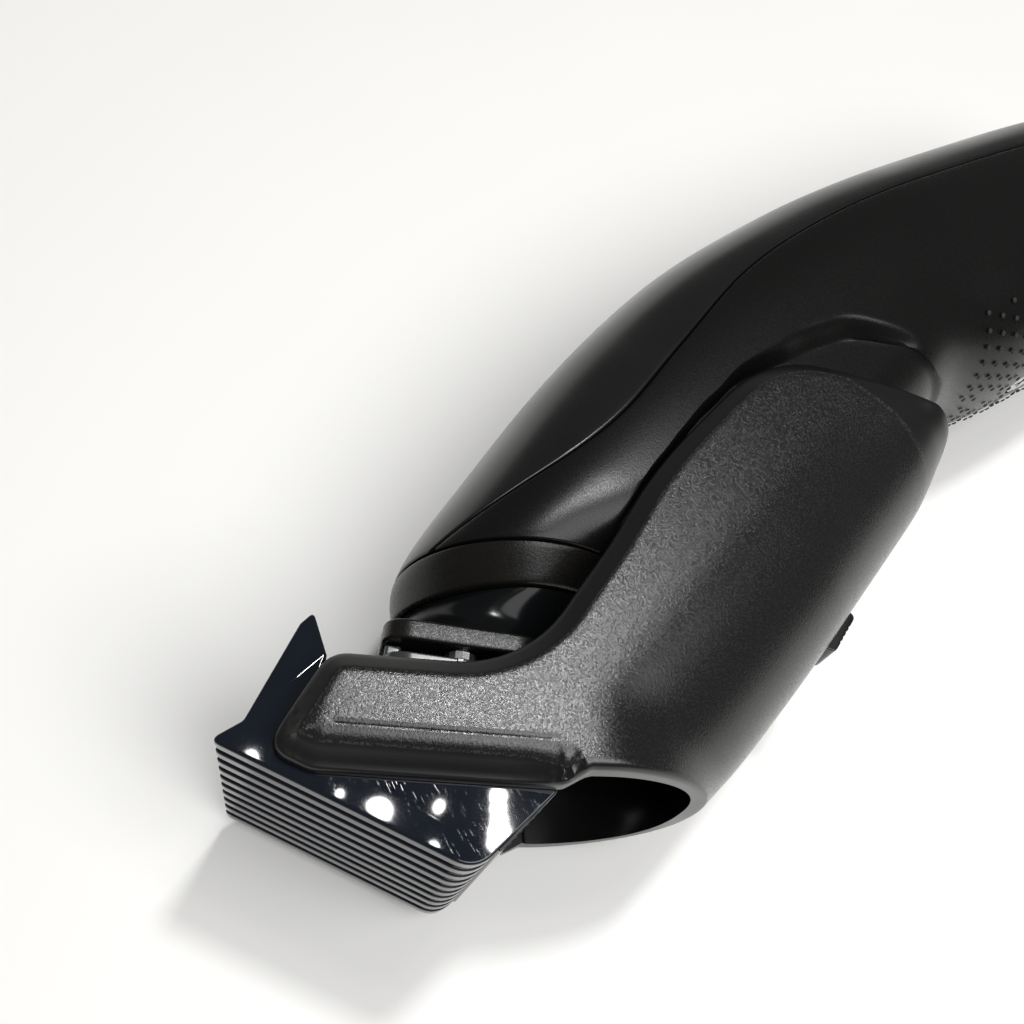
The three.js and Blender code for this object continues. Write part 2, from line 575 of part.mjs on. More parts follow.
// ---------------------------------------------------------------- comb carrier
// The C-shaped section of the carrier: over one side, round the belly and back over the other.
// The sides are cut flat where the rounded section would stand past the width.
const FLAT_SIDE = 1.04;
function carrierRing(t) {
  const arm = armCurve.getPoint(t);
  const belly = carrierBellyCurve.getPoint(t);
  const squareness = THREE.MathUtils.lerp(...CARRIER_SQUARENESS, Math.min(1, 2 * t));
  const reach = belly.clone().sub(arm);
  const depth = reach.length();
  reach.normalize();
  const steps = 14;
  const arc = (inset, halfWidth, exponent) =>
    Array.from({ length: steps + 1 }, (_, i) => {
      const angle = Math.PI / 2 - (Math.PI * i) / steps;
      const u = (depth - inset) * Math.abs(Math.cos(angle)) ** exponent;
      const w = halfWidth * THREE.MathUtils.clamp(FLAT_SIDE * power(Math.sin(angle), exponent), -1, 1);
      return arm.clone().addScaledVector(reach, u).setZ(w);
    });
  return [
    ...arc(0, MID, 2 / squareness),
    ...arc(CARRIER_WALL, ARM_INNER, 2 / (squareness + 0.3)).reverse(),
  ];
}
const armCurve = planCurve(ARM_EDGE);
const carrierBellyCurve = planCurve(CARRIER_BELLY);

// The finger that reaches from the arm to the comb, with a bevel on its outer edges.
const fingerOutline = roundedOutline([
  [24.4, 37.8, 4], [39.6, 28.6, 5], [47.6, 28.4, 3], [56, 32.6, 2], [58, 26, 4],
  [44.6, 12.6, 2], [40.6, 12.4, 3], [17, 27, 4.5], [13.6, 31.4, 4],
]);
function finger(side) {
  const bevel = 0.8;
  const geometry = new THREE.ExtrudeGeometry(fingerOutline, {
    depth: FINGER_OUTER - FINGER_INNER - bevel, curveSegments: 4, bevelEnabled: true,
    bevelThickness: bevel, bevelSize: bevel, bevelOffset: -bevel, bevelSegments: 1,
  });
  const blank = solid(geometry.translate(0, 0, FINGER_INNER));
  const flat = blank.subtract(box(0, 0, 0, 80, 60, FINGER_INNER));
  return side > 0 ? flat : flat.mirror([0, 0, 1]);
}

// The latch's axes: x along the carrier's slide towards the tail, y into the body.
const latchFrame = frameAt(LATCH_POINT, SLIDE_ANGLE);
const LATCH_HALF_WIDTH = 3.3;
const latchWindow = box(-4.3, -8, -LATCH_HALF_WIDTH - 0.4, 4.3, 3.2, LATCH_HALF_WIDTH + 0.4);
const pinHole = (radius, reach, sides = 14) =>
  solid(new THREE.CylinderGeometry(radius, radius, 2 * reach, sides).rotateX(Math.PI / 2)
    .translate(LATCH_PIVOT[0], LATCH_PIVOT[1], 0));
function latchLug(side) {
  const z = [side * 4.7, side * 6.4].sort((p, q) => p - q);
  return box(LATCH_PIVOT[0] - 1.9, 1.2, z[0], LATCH_PIVOT[0] + 1.9, LATCH_PIVOT[1] + 1.7, z[1]);
}
const place = (made, frame) => {
  frame.updateMatrix();
  const local = frame.matrix.clone().setPosition(frame.position.x, frame.position.y, 0);
  return solid(geometryOf(made).applyMatrix4(local));
};
const carrierStations = 19;
const carrierShell = loft(
  Array.from({ length: carrierStations }, (_, i) => carrierRing(i / (carrierStations - 1))),
  stripCap,
);
const carrier = cut(
  unite(carrierShell, finger(1), finger(-1),
    place(latchLug(1), latchFrame), place(latchLug(-1), latchFrame)),
  place(latchWindow, latchFrame),
  place(pinHole(0.95, 9), latchFrame),
);
add(bodyFrame, "comb_carrier", carrier, satinBlack);

// ---------------------------------------------------------------- length latch
// A rocker on a pin: pressing its pad, which stands out of the belly, lifts the pawl off the rack.
function lengthLatch() {
  const arm = plate(roundedOutline([
    [-3.4, -1.2, 1.2], [3.4, -1.2, 1.2], [3.8, 5.2, 0.6], [-12.6, 5.6, 0.3],
    [PAWL_X + 0.5, PAWL_TIP, 0.2], [PAWL_X - 0.5, PAWL_TIP, 0.2], [PAWL_X - 1, 5, 0.3],
    [-9, 4, 1], [-3.8, 3.4, 0.4],
  ]), -LATCH_HALF_WIDTH, LATCH_HALF_WIDTH);
  return cut(unite(arm, pinHole(1.75, LATCH_HALF_WIDTH, 18)), pinHole(0.95, 9));
}
add(latchFrame, "length_latch", lengthLatch(), smoothBlack);
add(latchFrame, "latch_pin", pinHole(0.7, 6.2), steel);

// The torsion spring's coils, drawn as the closed ring that they fill between lever and lug.
const coilPack = cut(pinHole(1.6, 4.4, 18), pinHole(1, 5), box(-20, -5, -6, 10, 12, 3.6));
add(latchFrame, "latch_spring", coilPack, steel);

// A rail on the housing's belly, with a notch every RACK_PITCH for the pawl.
function detentRack() {
  const x0 = PAWL_X - NOTCHES_AHEAD * RACK_PITCH;
  const rail = box(x0, RACK_FLOOR, -3, x0 + RACK_TEETH * RACK_PITCH, RACK_FLOOR + 15, 3);
  const teeth = Array.from({ length: RACK_TEETH }, (_, i) => {
    const x = x0 + (i + 0.5) * RACK_PITCH;
    return plate(new THREE.Shape([
      new THREE.Vector2(x - 0.75, RACK_FLOOR + 0.2), new THREE.Vector2(x, RACK_FLOOR - TOOTH_HEIGHT),
      new THREE.Vector2(x + 0.75, RACK_FLOOR + 0.2),
    ]), -3, 3);
  });
  return cut(place(unite(rail, ...teeth), latchFrame), handleForm(-2 * GAP));
}
add(bodyFrame, "detent_rack", detentRack(), innerPlastic);

// ---------------------------------------------------------------- origin under the middle of the box
clipper.updateMatrixWorld(true);
const bounds = new THREE.Box3().setFromObject(clipper, true);
const middle = bounds.getCenter(new THREE.Vector3());
clipper.position.set(-middle.x, -middle.y, -bounds.min.z);

export default clipper;
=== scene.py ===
import json
import math

import bmesh
import bpy
import numpy as np
from mathutils import Matrix, Vector
from mathutils.geometry import delaunay_2d_cdt


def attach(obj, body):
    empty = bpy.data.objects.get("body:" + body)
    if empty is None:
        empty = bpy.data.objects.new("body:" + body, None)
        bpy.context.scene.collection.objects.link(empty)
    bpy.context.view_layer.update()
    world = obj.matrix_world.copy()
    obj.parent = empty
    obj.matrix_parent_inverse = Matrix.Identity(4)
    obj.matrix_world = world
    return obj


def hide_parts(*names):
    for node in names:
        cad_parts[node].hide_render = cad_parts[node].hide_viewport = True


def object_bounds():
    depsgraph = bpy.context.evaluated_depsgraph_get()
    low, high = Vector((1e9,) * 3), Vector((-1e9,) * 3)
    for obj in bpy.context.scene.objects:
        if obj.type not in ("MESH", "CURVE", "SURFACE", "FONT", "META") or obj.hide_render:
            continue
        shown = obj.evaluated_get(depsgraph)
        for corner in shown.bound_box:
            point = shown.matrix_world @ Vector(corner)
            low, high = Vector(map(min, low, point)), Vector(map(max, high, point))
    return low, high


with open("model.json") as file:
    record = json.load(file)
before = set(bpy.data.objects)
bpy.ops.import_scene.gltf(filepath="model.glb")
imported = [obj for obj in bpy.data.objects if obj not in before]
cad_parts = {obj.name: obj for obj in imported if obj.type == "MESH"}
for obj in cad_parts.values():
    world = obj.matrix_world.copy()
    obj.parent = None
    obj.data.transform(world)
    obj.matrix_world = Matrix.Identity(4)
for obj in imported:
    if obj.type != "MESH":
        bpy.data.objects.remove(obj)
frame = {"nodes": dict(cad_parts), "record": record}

# A cordless hair clipper lying on its side. Shapes are worked out in the clipper's plan axes, in
# millimetres: x along the handle to the tail, y from the belly to the rear cover, and z across,
# from the mid-plane. row() turns them into metres in the frame's own axes.
CAD_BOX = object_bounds()
MM = 1000  # millimetres in a metre
WIDTH = 48
HALF = WIDTH / 2
WALL, GAP = 2, 0.3  # of the casings, and between them
TAIL_X = 203
SWITCH_TOP = 79.6
SHIFT = np.array([CAD_BOX[1].x * MM - TAIL_X, CAD_BOX[1].y * MM - SWITCH_TOP, HALF])

# -------- driving outlines
REAR_OUTLINE = [
    [37.5, 44], [40.2, 48.6], [56, 57.4], [75, 66.4], [96, 73.6],
    [118, 76.8], [131, 77.4], [145, 77.4], [180, 75], [196, 70.5], [203, 64],
]
BELLY_OUTLINE = [
    [65.5, 28.5], [68.5, 31], [77, 27.3], [90, 25.2], [105, 28],
    [120, 33.4], [130, 36.8], [146, 35.4], [181, 38.5], [197, 43.5], [203, 50],
]
HANDLE_WIDTHS = [33, 39, 42.6, 44, 44.4, 44.2, 43.8, 43, 40, 33, 17]
HANDLE_SQUARENESS = [1.8, 2, 2.3, 2.5, 2.5, 2.5, 2.5, 2.5, 2.5, 2.4, 2.2]
RING_END = 0.1  # where the head ring ends, as a share of the outlines' points
CAP_START = 0.868  # where the end cap starts
RING_GAP, CAP_GAP = 0.002, 0.001  # half the gaps at those two places, as shares too
SEAM = [  # between the front housing and the rear cover
    [30, 45.8], [40.3, 46.7], [55.5, 47.8], [65.2, 48.7], [73.2, 50.6],
    [86.2, 56.2], [104, 63.5], [122, 66.5], [150, 66.5], [180, 64], [210, 60],
]
RECESS = [  # the pocket that the carrier's arms slide in, as [x, y, corner radius]
    [30, 26, 1], [46, 28.2, 4], [58.6, 34.6, 20], [70.3, 41.4, 20], [81.4, 46.4, 20],
    [92, 49.9, 14], [103, 51.4, 8], [110.5, 50.8, 8], [119.5, 44.6, 12], [127, 36, 10],
    [128.5, 24, 8], [127, 5, 1], [30, 5, 1],
]
RECESS_FLOOR = 19  # half the handle's width there
RECESS_INSET = 0.8  # how far the belly inside the recess is set in from the handle beyond it
ARM_EDGE = [  # the carrier's rear edge
    [39.5, 14.6], [44.5, 25.6], [50.5, 29.8], [60.5, 34.8], [70.7, 40.5],
    [81.8, 44.8], [92, 47.5], [99, 46.2], [105, 41.9], [110.6, 36.6],
]
CARRIER_BELLY = [  # the carrier's belly line, point by point opposite the arm's edge
    [60.6, 3.2], [63.2, 3.9], [67.7, 5.2], [75.2, 7.9], [83.8, 11.2],
    [94, 15.4], [102.5, 18.9], [110, 22.1], [115.2, 24.7], [119, 27],
]
CARRIER_SQUARENESS = [2.1, 2.7]
FLAT_SIDE = 1.04  # how far a section would bulge past the flat side, as a share of its half width
FLAT_SHARE = 0.2  # how much of a section's depth is flat on its side
ARM_INNER, FINGER_INNER = 20.2, 19.45  # half the room between the arms, and between the fingers
FINGER_ROOT, FINGER_BLEND = 44, 8  # in x
CARRIER_WALL = 2.2
HEAD_ANGLE, HEAD_CENTRE = -35.2, [41, 34.55]  # the cutting unit's axes
COMB_ANGLE = -54
SLIDE_ANGLE, LATCH_POINT = 26, [92.3, 14.6]
LATCH_PIN, PIN_HOLE = [-7, 4.8], 0.95  # in the latch's axes, and the hole's radius
SMOOTH_ANGLE = 40  # in degrees; faces that meet at more than this keep a sharp edge


# -------- curves
def row(points):
    """Plan millimetres to metres in the frame's axes."""
    return (np.asarray(points, float) + SHIFT) / MM


def catmull(points, t):
    """Points on the centripetal Catmull-Rom curve through a list of points, at t from 0 to 1."""
    p = np.asarray(points, float)
    if p.ndim == 1:
        return catmull(np.column_stack([np.arange(len(p)), p]), t)[..., 1]
    p = np.vstack([2 * p[0] - p[1], p, 2 * p[-1] - p[-2]])
    s = np.clip(np.asarray(t, float), 0, 1) * (len(points) - 1)
    i = np.minimum(s.astype(int), len(points) - 2)
    w = (s - i)[..., None]
    a, b, c, d = p[i], p[i + 1], p[i + 2], p[i + 3]
    d0, d1, d2 = (
        np.sqrt(np.linalg.norm(q - r, axis=-1, keepdims=True)) for q, r in ((b, a), (c, b), (d, c))
    )
    m1 = ((b - a) / d0 - (c - a) / (d0 + d1) + (c - b) / d1) * d1
    m2 = ((c - b) / d1 - (d - b) / (d1 + d2) + (d - c) / d2) * d1
    return b + m1 * w + (3 * (c - b) - 2 * m1 - m2) * w**2 + (2 * (b - c) + m1 + m2) * w**3


def eased(values, passes):
    """Smooths a dense list of values or points, with its ends kept."""
    out = np.array(values, float)
    for _ in range(passes):
        out[1:-1] = (out[:-2] + 2 * out[1:-1] + out[2:]) / 4
    return out


def rounded(corners, steps=6):
    """A closed outline of [x, y, corner radius] entries, with its corners rounded off."""
    xy = np.array([c[:2] for c in corners], float)
    out = []
    for i, (x, y, radius) in enumerate(corners):
        here = np.array([x, y], float)
        before, after = xy[i - 1] - here, xy[(i + 1) % len(xy)] - here
        lb, la = np.linalg.norm(before), np.linalg.norm(after)
        turn = math.pi - math.acos(np.clip(before @ after / (lb * la), -1, 1))
        reach = min(radius * math.tan(turn / 2), lb / 2, la / 2)
        start, end = here + before / lb * reach, here + after / la * reach
        for k in range(steps + 1):
            w = k / steps
            out.append((1 - w) ** 2 * start + 2 * w * (1 - w) * here + w**2 * end)
    return np.array(out)


def lengths(points):
    return np.concatenate([[0], np.cumsum(np.linalg.norm(np.diff(points, axis=0), axis=1))])


def spread(points, step):
    """Resamples a polyline at even steps of about the given length."""
    p = np.asarray(points, float)
    s = lengths(p)
    count = max(2, int(round(s[-1] / step)) + 1)
    at = np.linspace(0, s[-1], count)
    return np.column_stack([np.interp(at, s, p[:, k]) for k in range(p.shape[1])])


def inside(xy, outline):
    """True where plan points lie inside a closed outline."""
    x, y = xy[..., 0], xy[..., 1]
    hit = np.zeros(x.shape, bool)
    for (x0, y0), (x1, y1) in zip(outline, np.roll(outline, -1, axis=0)):
        if y0 != y1:
            hit ^= ((y0 > y) != (y1 > y)) & (x < (x1 - x0) * (y - y0) / (y1 - y0) + x0)
    return hit


def smoothstep(x):
    x = np.clip(x, 0, 1)
    return x * x * (3 - 2 * x)


def superellipse(turn, power):
    cosine, sine = np.cos(turn), np.sin(turn)
    return np.sign(cosine) * np.abs(cosine) ** power, np.sign(sine) * np.abs(sine) ** power


FILLET_TURN = np.radians([0, 22, 45, 67, 90])


def with_fillets(start, stop, count, radius, ends=(True, True)):
    """Positions from start to stop, closer together in the rounded ends, and how far in they sit."""
    run = radius * (1 - np.cos(FILLET_TURN))
    drop = radius * (1 - np.sin(FILLET_TURN))
    start, stop = np.asarray(start, float)[..., None], np.asarray(stop, float)[..., None]
    share = np.linspace(0, 1, count + 2)
    low = radius if ends[0] else 0
    high = radius if ends[1] else 0
    at = start + low + (stop - start - low - high) * share
    inset = np.zeros(count + 2)
    if ends[0]:
        at = np.concatenate([start + run, at[..., 1:]], axis=-1)
        inset = np.concatenate([drop, inset[1:]])
    if ends[1]:
        at = np.concatenate([at[..., :-1], stop - run[::-1]], axis=-1)
        inset = np.concatenate([inset[:-1], drop[::-1]])
    return at, inset


# -------- meshes
class Skin:
    """Collects points and faces in plan millimetres, and welds them into one piece."""

    FAR = 99.0  # the mark of a point that lies far from any edge

    def __init__(self):
        self.points, self.faces, self.marks = [], [], []
        self.count = 0

    def patch(self, points, wrap_rows=False, wrap_cols=False, marks=None):
        points = np.asarray(points, float)
        rows, cols = points.shape[:2]
        i = np.arange(rows if wrap_rows else rows - 1)[:, None]
        j = np.arange(cols if wrap_cols else cols - 1)[None, :]
        k, l = (i + 1) % rows, (j + 1) % cols
        quads = np.stack(
            [i * cols + j, i * cols + l, k * cols + l, k * cols + j], axis=-1
        ).reshape(-1, 4)
        self.add(points.reshape(-1, 3), quads.tolist(), marks)

    def face(self, points):
        self.add(points, [list(range(len(points)))])

    def add(self, points, faces, marks=None):
        self.faces += [[v + self.count for v in f] for f in faces]
        self.points.append(points)
        blank = np.full(len(points), self.FAR)
        self.marks.append(blank if marks is None else np.asarray(marks, float).reshape(-1))
        self.count += len(points)

    def mirrored(self):
        """Adds the same faces on the other side of the mid-plane."""
        points, faces, marks = np.vstack(self.points), list(self.faces), np.concatenate(self.marks)
        self.add(points * [1, 1, -1], [f[::-1] for f in faces], marks)

    def build(self, name, sharp=SMOOTH_ANGLE, weld=0.004):
        mesh = bpy.data.meshes.new(name)
        mesh.from_pydata(row(np.vstack(self.points)).tolist(), [], self.faces)
        mark = mesh.attributes.new("edge_distance", "FLOAT", "POINT")
        mark.data.foreach_set("value", np.concatenate(self.marks).astype(np.float32))
        work = bmesh.new()
        work.from_mesh(mesh)
        bmesh.ops.remove_doubles(work, verts=work.verts, dist=weld / MM)
        bmesh.ops.dissolve_degenerate(work, edges=work.edges, dist=1e-7)
        bmesh.ops.recalc_face_normals(work, faces=work.faces)
        work.to_mesh(mesh)
        work.free()
        obj = linked(name, mesh)
        smooth(obj, sharp)
        return obj


def smooth(obj, sharp=SMOOTH_ANGLE):
    obj.data.polygons.foreach_set("use_smooth", [True] * len(obj.data.polygons))
    obj.data.set_sharp_from_angle(angle=math.radians(sharp))


def place(obj, body, slot, material, *nodes, flat_faced=False):
    """Hands a finished piece to its body, its finish and the CAD nodes that it stands for."""
    if flat_faced:  # shading follows the large faces, so that they look flat up to their bevels
        even = obj.modifiers.new("even_normals", "WEIGHTED_NORMAL")
        even.mode, even.weight, even.keep_sharp = "FACE_AREA", 100, True
    obj.data.materials.clear()
    obj.data.materials.append(material)
    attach(obj, body)
    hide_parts(*nodes)


def final_mesh(obj):
    """The mesh that an object's curve or modifiers make."""
    graph = bpy.context.evaluated_depsgraph_get()
    return bpy.data.meshes.new_from_object(obj.evaluated_get(graph))


def linked(name, data):
    obj = bpy.data.objects.new(name, data)
    bpy.context.scene.collection.objects.link(obj)
    return obj


def cut(obj, *tools, how="DIFFERENCE"):
    """Cuts closed tools out of a piece, or unites them with it, and deletes them."""
    for tool in tools:
        step = obj.modifiers.new("cut", "BOOLEAN")
        step.operation, step.solver, step.object = how, "EXACT", tool
    mesh = final_mesh(obj)
    obj.modifiers.clear()
    obj.data = mesh
    for tool in tools:
        bpy.data.objects.remove(tool)
    smooth(obj)
    return obj


def axes_at(point, degrees):
    """The matrix of axes turned in plan, with their origin at a plan point."""
    turn = Matrix.Rotation(math.radians(degrees), 4, "Z")
    turn.translation = Vector(row([point[0], point[1], 0]))
    return turn


BODY_AXES = axes_at([0, 0], 0)
HEAD_AXES = axes_at(HEAD_CENTRE, HEAD_ANGLE)
COMB_AXES = axes_at([0, 0], COMB_ANGLE)
LATCH_AXES = axes_at(LATCH_POINT, SLIDE_ANGLE)
SLAB_ANGLE = 35  # in degrees
NO_BEVEL = 0.01  # for the tools that cut holes


def slab(name, outlines, low, high, bevel, axes, upright=False, resolution=2):
    """A plate with rounded edges between two heights. Outlines past the first are holes in it."""
    curve = bpy.data.curves.new(name, "CURVE")
    curve.dimensions, curve.fill_mode = "2D", "BOTH"
    curve.bevel_depth, curve.bevel_resolution = bevel / MM, resolution
    curve.offset = -bevel / MM
    curve.extrude = (high - low) / (2 * MM) - bevel / MM
    for outline in outlines:
        spline = curve.splines.new("POLY")
        spline.use_cyclic_u = True
        spline.points.add(len(outline) - 1)
        for point, (x, y) in zip(spline.points, outline):
            point.co = (x / MM, y / MM, 0, 1)
    drawn = linked(name, curve)
    bpy.context.view_layer.update()
    mesh = final_mesh(drawn)
    bpy.data.objects.remove(drawn)
    lift = Matrix.Translation((0, 0, (low + high) / (2 * MM)))
    if upright:  # the outline is drawn in x and z, and its thickness runs along y
        lift = Matrix(((1, 0, 0, 0), (0, 0, 1, 0), (0, 1, 0, 0), (0, 0, 0, 1))) @ lift
    mesh.transform(axes @ lift)
    work = bmesh.new()
    work.from_mesh(mesh)
    bmesh.ops.remove_doubles(work, verts=work.verts, dist=1e-6)
    bmesh.ops.recalc_face_normals(work, faces=work.faces)
    work.to_mesh(mesh)
    work.free()
    made = linked(name, mesh)
    smooth(made, SLAB_ANGLE)
    return made


def joined(name, *objects):
    """Makes one piece of several."""
    work = bmesh.new()
    for obj in objects:
        work.from_mesh(obj.data)
        bpy.data.objects.remove(obj)
    mesh = bpy.data.meshes.new(name)
    work.to_mesh(mesh)
    work.free()
    made = linked(name, mesh)
    smooth(made, SLAB_ANGLE)
    return made


def circle(x, y, radius, count=32):
    a = np.linspace(0, 2 * math.pi, count, endpoint=False)
    return np.column_stack([x + radius * np.cos(a), y + radius * np.sin(a)])


def rectangle(x0, y0, x1, y1, radius, steps=6):
    return rounded([[x0, y0, radius], [x1, y0, radius], [x1, y1, radius], [x0, y1, radius]], steps)


# -------- the handle's form
T = np.linspace(0, 1, 1201)  # shares of the way along the handle
EASING = 120
REAR = eased(catmull(REAR_OUTLINE, T), EASING)
BELLY = eased(catmull(BELLY_OUTLINE, T), EASING)
HALF_WIDTHS = eased(catmull(HANDLE_WIDTHS, T), EASING) / 2
SQUARENESS = eased(catmull(HANDLE_SQUARENESS, T), EASING)
SEAM_LINE = catmull(SEAM, np.linspace(0, 1, 400))
RECESS_LINE = rounded(RECESS, 12)
MIDDLE = (REAR + BELLY) / 2
LENGTH = lengths(MIDDLE)
THETA = np.linspace(0, math.pi, 361)  # turns round half a section
SIDE = len(THETA) // 2  # the turn at the middle of the side
RECESS_LEAST = 15


class Sections:
    """Half cross-sections of the handle, from the rear line over the side to the belly line."""

    def __init__(self, t):
        self.rear, self.belly = (
            np.column_stack([np.interp(t, T, line[:, k]) for k in (0, 1)]) for line in (REAR, BELLY)
        )
        across = self.rear - self.belly
        size = np.linalg.norm(across, axis=1)[:, None]
        self.centre, self.across = (self.rear + self.belly) / 2, across / size
        power = 2 / np.interp(t, T, SQUARENESS)[:, None]
        cosine, sine = np.cos(THETA), np.abs(np.sin(THETA))
        self.u = size / 2 * np.sign(cosine) * np.abs(cosine) ** power
        self.w = np.interp(t, T, HALF_WIDTHS)[:, None] * sine**power
        du, dw = np.gradient(self.u, axis=1), np.gradient(self.w, axis=1)
        size = np.hypot(du, dw) + 1e-9
        self.nu, self.nw = dw / size, -du / size
        run = np.hypot(np.diff(self.u, axis=1), np.diff(self.w, axis=1))
        self.s = np.concatenate([np.zeros((len(run), 1)), np.cumsum(run, axis=1)], axis=1)
        self.plan = self.centre[:, None] + self.across[:, None] * self.u[..., None]

    def points(self, at, inset):
        at = np.broadcast_to(at, (len(self.s), np.shape(at)[-1]))
        u, w, nu, nw = (
            np.array([np.interp(a, s, v) for a, s, v in zip(at, self.s, values)])
            for values in (self.u, self.w, self.nu, self.nw)
        )
        u, w = u - nu * inset, np.maximum(w - nw * inset, 0)
        return np.dstack([self.centre[:, None] + self.across[:, None] * u[..., None], w])

    def crossing(self, level):
        """How far round each section a value that falls from rear to belly reaches nought."""
        return np.array([np.interp(0, -v, s) for v, s in zip(level, self.s)])

    def seam(self, offset):
        line = np.interp(self.plan[..., 0], SEAM_LINE[:, 0], SEAM_LINE[:, 1])
        return self.crossing(self.plan[..., 1] - line - offset)

    def recess(self):
        """Where each section enters the recess that the carrier's arms slide in."""
        hit = inside(self.plan, RECESS_LINE)
        first = np.where(hit.any(axis=1), hit.argmax(axis=1), len(THETA) - 1)
        last = np.array([np.nonzero(w > RECESS_LEAST)[0].max() for w in self.w])
        return eased([s[min(a, b)] for s, a, b in zip(self.s, first, last)], 3)


def lengthwise(t0, t1, step, radius, ends=(True, True)):
    """Stations along the handle between two shares of it, with rounded ends."""
    start, stop = np.interp([t0, t1], T, LENGTH)
    at, inset = with_fillets(start, stop, int((stop - start) / step), radius, ends)
    return np.interp(at, LENGTH, T), inset


def both_sides(half, from_rear):
    """Doubles rows of half sections into rows that cross the mid-plane."""
    other = half * [1, 1, -1]
    if from_rear:
        return np.concatenate([other[:, :0:-1], half], axis=1)
    return np.concatenate([half, other[:, -2::-1]], axis=1)


def shell(outer, inner):
    """A closed skin round a wall with an outer and an inner face."""
    skin = Skin()
    skin.patch(np.concatenate([outer, inner[:, ::-1]], axis=1), wrap_cols=True)
    skin.patch(np.stack([outer[0], inner[0]]))
    skin.patch(np.stack([outer[-1], inner[-1]]))
    return skin


EDGE = 0.3  # radius of the casings' edges
STEP = 0.9  # length of a casing's faces
CASING_ENDS = (RING_END + RING_GAP, CAP_START - CAP_GAP)
RECESS_SLOPE, SLOPE_GROWTH = 0.9, 2.4  # the slope's run at the head, and what the tail adds
GROWTH_START, GROWTH_RUN = 88, 16  # where that is added, in x
RECESS_WALL = 1.6
TAIL_BLEND = 2.2
RECESS_TAIL_X = 80


def rear_cover():
    """The rear casing, from the seam over the rear line to the seam on the other side."""
    t, ends = lengthwise(*CASING_ENDS, STEP, EDGE)
    form = Sections(t)
    at, inset = with_fillets(np.zeros(len(t)), form.seam(GAP / 2), 40, EDGE, (False, True))
    outer = form.points(at, inset + ends[:, None])
    inner = form.points(at, WALL)
    return shell(both_sides(outer, True), both_sides(inner, True)).build("rear_cover_shell")


def lowered(points, at, edge, ramp, floor):
    """Presses the side in to the recess floor past an edge, down a slope of a given run."""
    blend = smoothstep((at - edge[:, None]) / ramp[:, None])
    over = points[..., 2] - floor
    soft = 0.4
    low = floor + (over - np.sqrt(over**2 + soft**2)) / 2
    points[..., 2] += blend * (low - points[..., 2])
    return points


def front_housing():
    """The belly casing, with the recess that the carrier slides in pressed into it."""
    t, ends = lengthwise(*CASING_ENDS, STEP, EDGE)
    form = Sections(t)
    edge = form.recess()
    along = (form.plan[:, SIDE, 0] - GROWTH_START) / GROWTH_RUN
    ramp = RECESS_SLOPE + SLOPE_GROWTH * smoothstep(along)
    above, inset = with_fillets(form.seam(-GAP / 2), edge, 30, EDGE, (True, False))
    share = np.linspace(0, 1, 9)[1:]
    slope = edge[:, None] + ramp[:, None] * share
    rest = slope[:, -1:] + (form.s[:, -1:] - slope[:, -1:]) * np.linspace(0, 1, 34)[1:]
    at = np.concatenate([above, slope, rest], axis=1)
    inset = np.concatenate([inset, np.zeros(at.shape[1] - len(inset))])
    plan = form.points(at, 0)[..., :2]
    tail = RECESS_LINE[RECESS_LINE[:, 0] > RECESS_TAIL_X]
    gap = distance_to(plan.reshape(-1, 2), tail)[0].reshape(at.shape)
    past_slope = at > slope[:, -1:] - 0.5
    deep = smoothstep(gap / TAIL_BLEND) * inside(plan, RECESS_LINE) * past_slope
    inset = np.maximum(inset, deep * RECESS_INSET)
    outer = lowered(form.points(at, inset + ends[:, None]), at, edge, ramp, RECESS_FLOOR)
    inner = lowered(form.points(at, WALL), at, edge, ramp, RECESS_FLOOR - RECESS_WALL)
    return shell(both_sides(outer, False), both_sides(inner, False)).build("front_housing_shell")


def whole_rings(form, inset, count=64):
    """Closed rings round the handle at even steps of each section."""
    half = form.points(form.s[:, -1:] * np.linspace(0, 1, count), inset)
    return np.concatenate([half, half[:, -2:0:-1] * [1, 1, -1]], axis=1)


def head_ring():
    """The band round the head end of the casings."""
    t, ends = lengthwise(0, RING_END - RING_GAP, step=0.6, radius=0.35)
    form = Sections(t)
    rings = np.concatenate([whole_rings(form, ends[:, None]), whole_rings(form, WALL)[::-1]])
    skin = Skin()
    skin.patch(rings, wrap_rows=True, wrap_cols=True)
    return skin.build("head_ring_band")


INLET_Y, INLET_HALF = 57, [1.8, 4.2]  # the charging inlet
INLET_POWER = 0.4
INLET_DEPTH, INLET_BEVEL = 2.2, 0.4


def end_cap():
    """The tail's cap: an outer face that turns in to the inlet's opening, and back inside it."""
    rim = 1.4
    t, ends = lengthwise(CAP_START + CAP_GAP, 1, STEP, EDGE, (True, False))
    form = Sections(t)
    to_tail = (np.interp(1, T, LENGTH) - np.interp(t, T, LENGTH)).clip(0, rim)
    ends = ends + rim - np.sqrt(rim**2 - (rim - to_tail) ** 2)
    outer = whole_rings(form, ends[:, None])
    count = outer.shape[1]
    u, w = superellipse(2 * math.pi * np.arange(count) / count, INLET_POWER)

    def opening(depth, grow):
        y, z = INLET_Y + (INLET_HALF[0] + grow) * u, (INLET_HALF[1] + grow) * w
        return np.column_stack([np.full(count, float(TAIL_X - depth)), y, z])

    throat = [opening(0, INLET_BEVEL), opening(INLET_BEVEL, 0), opening(INLET_DEPTH, 0)]
    inner = whole_rings(form, WALL)[:-4][::-1]
    inner[..., 0] = np.minimum(inner[..., 0], TAIL_X - INLET_DEPTH)
    skin = Skin()
    skin.patch(np.concatenate([outer, throat, inner]), wrap_rows=True, wrap_cols=True)
    return skin.build("end_cap_shell")


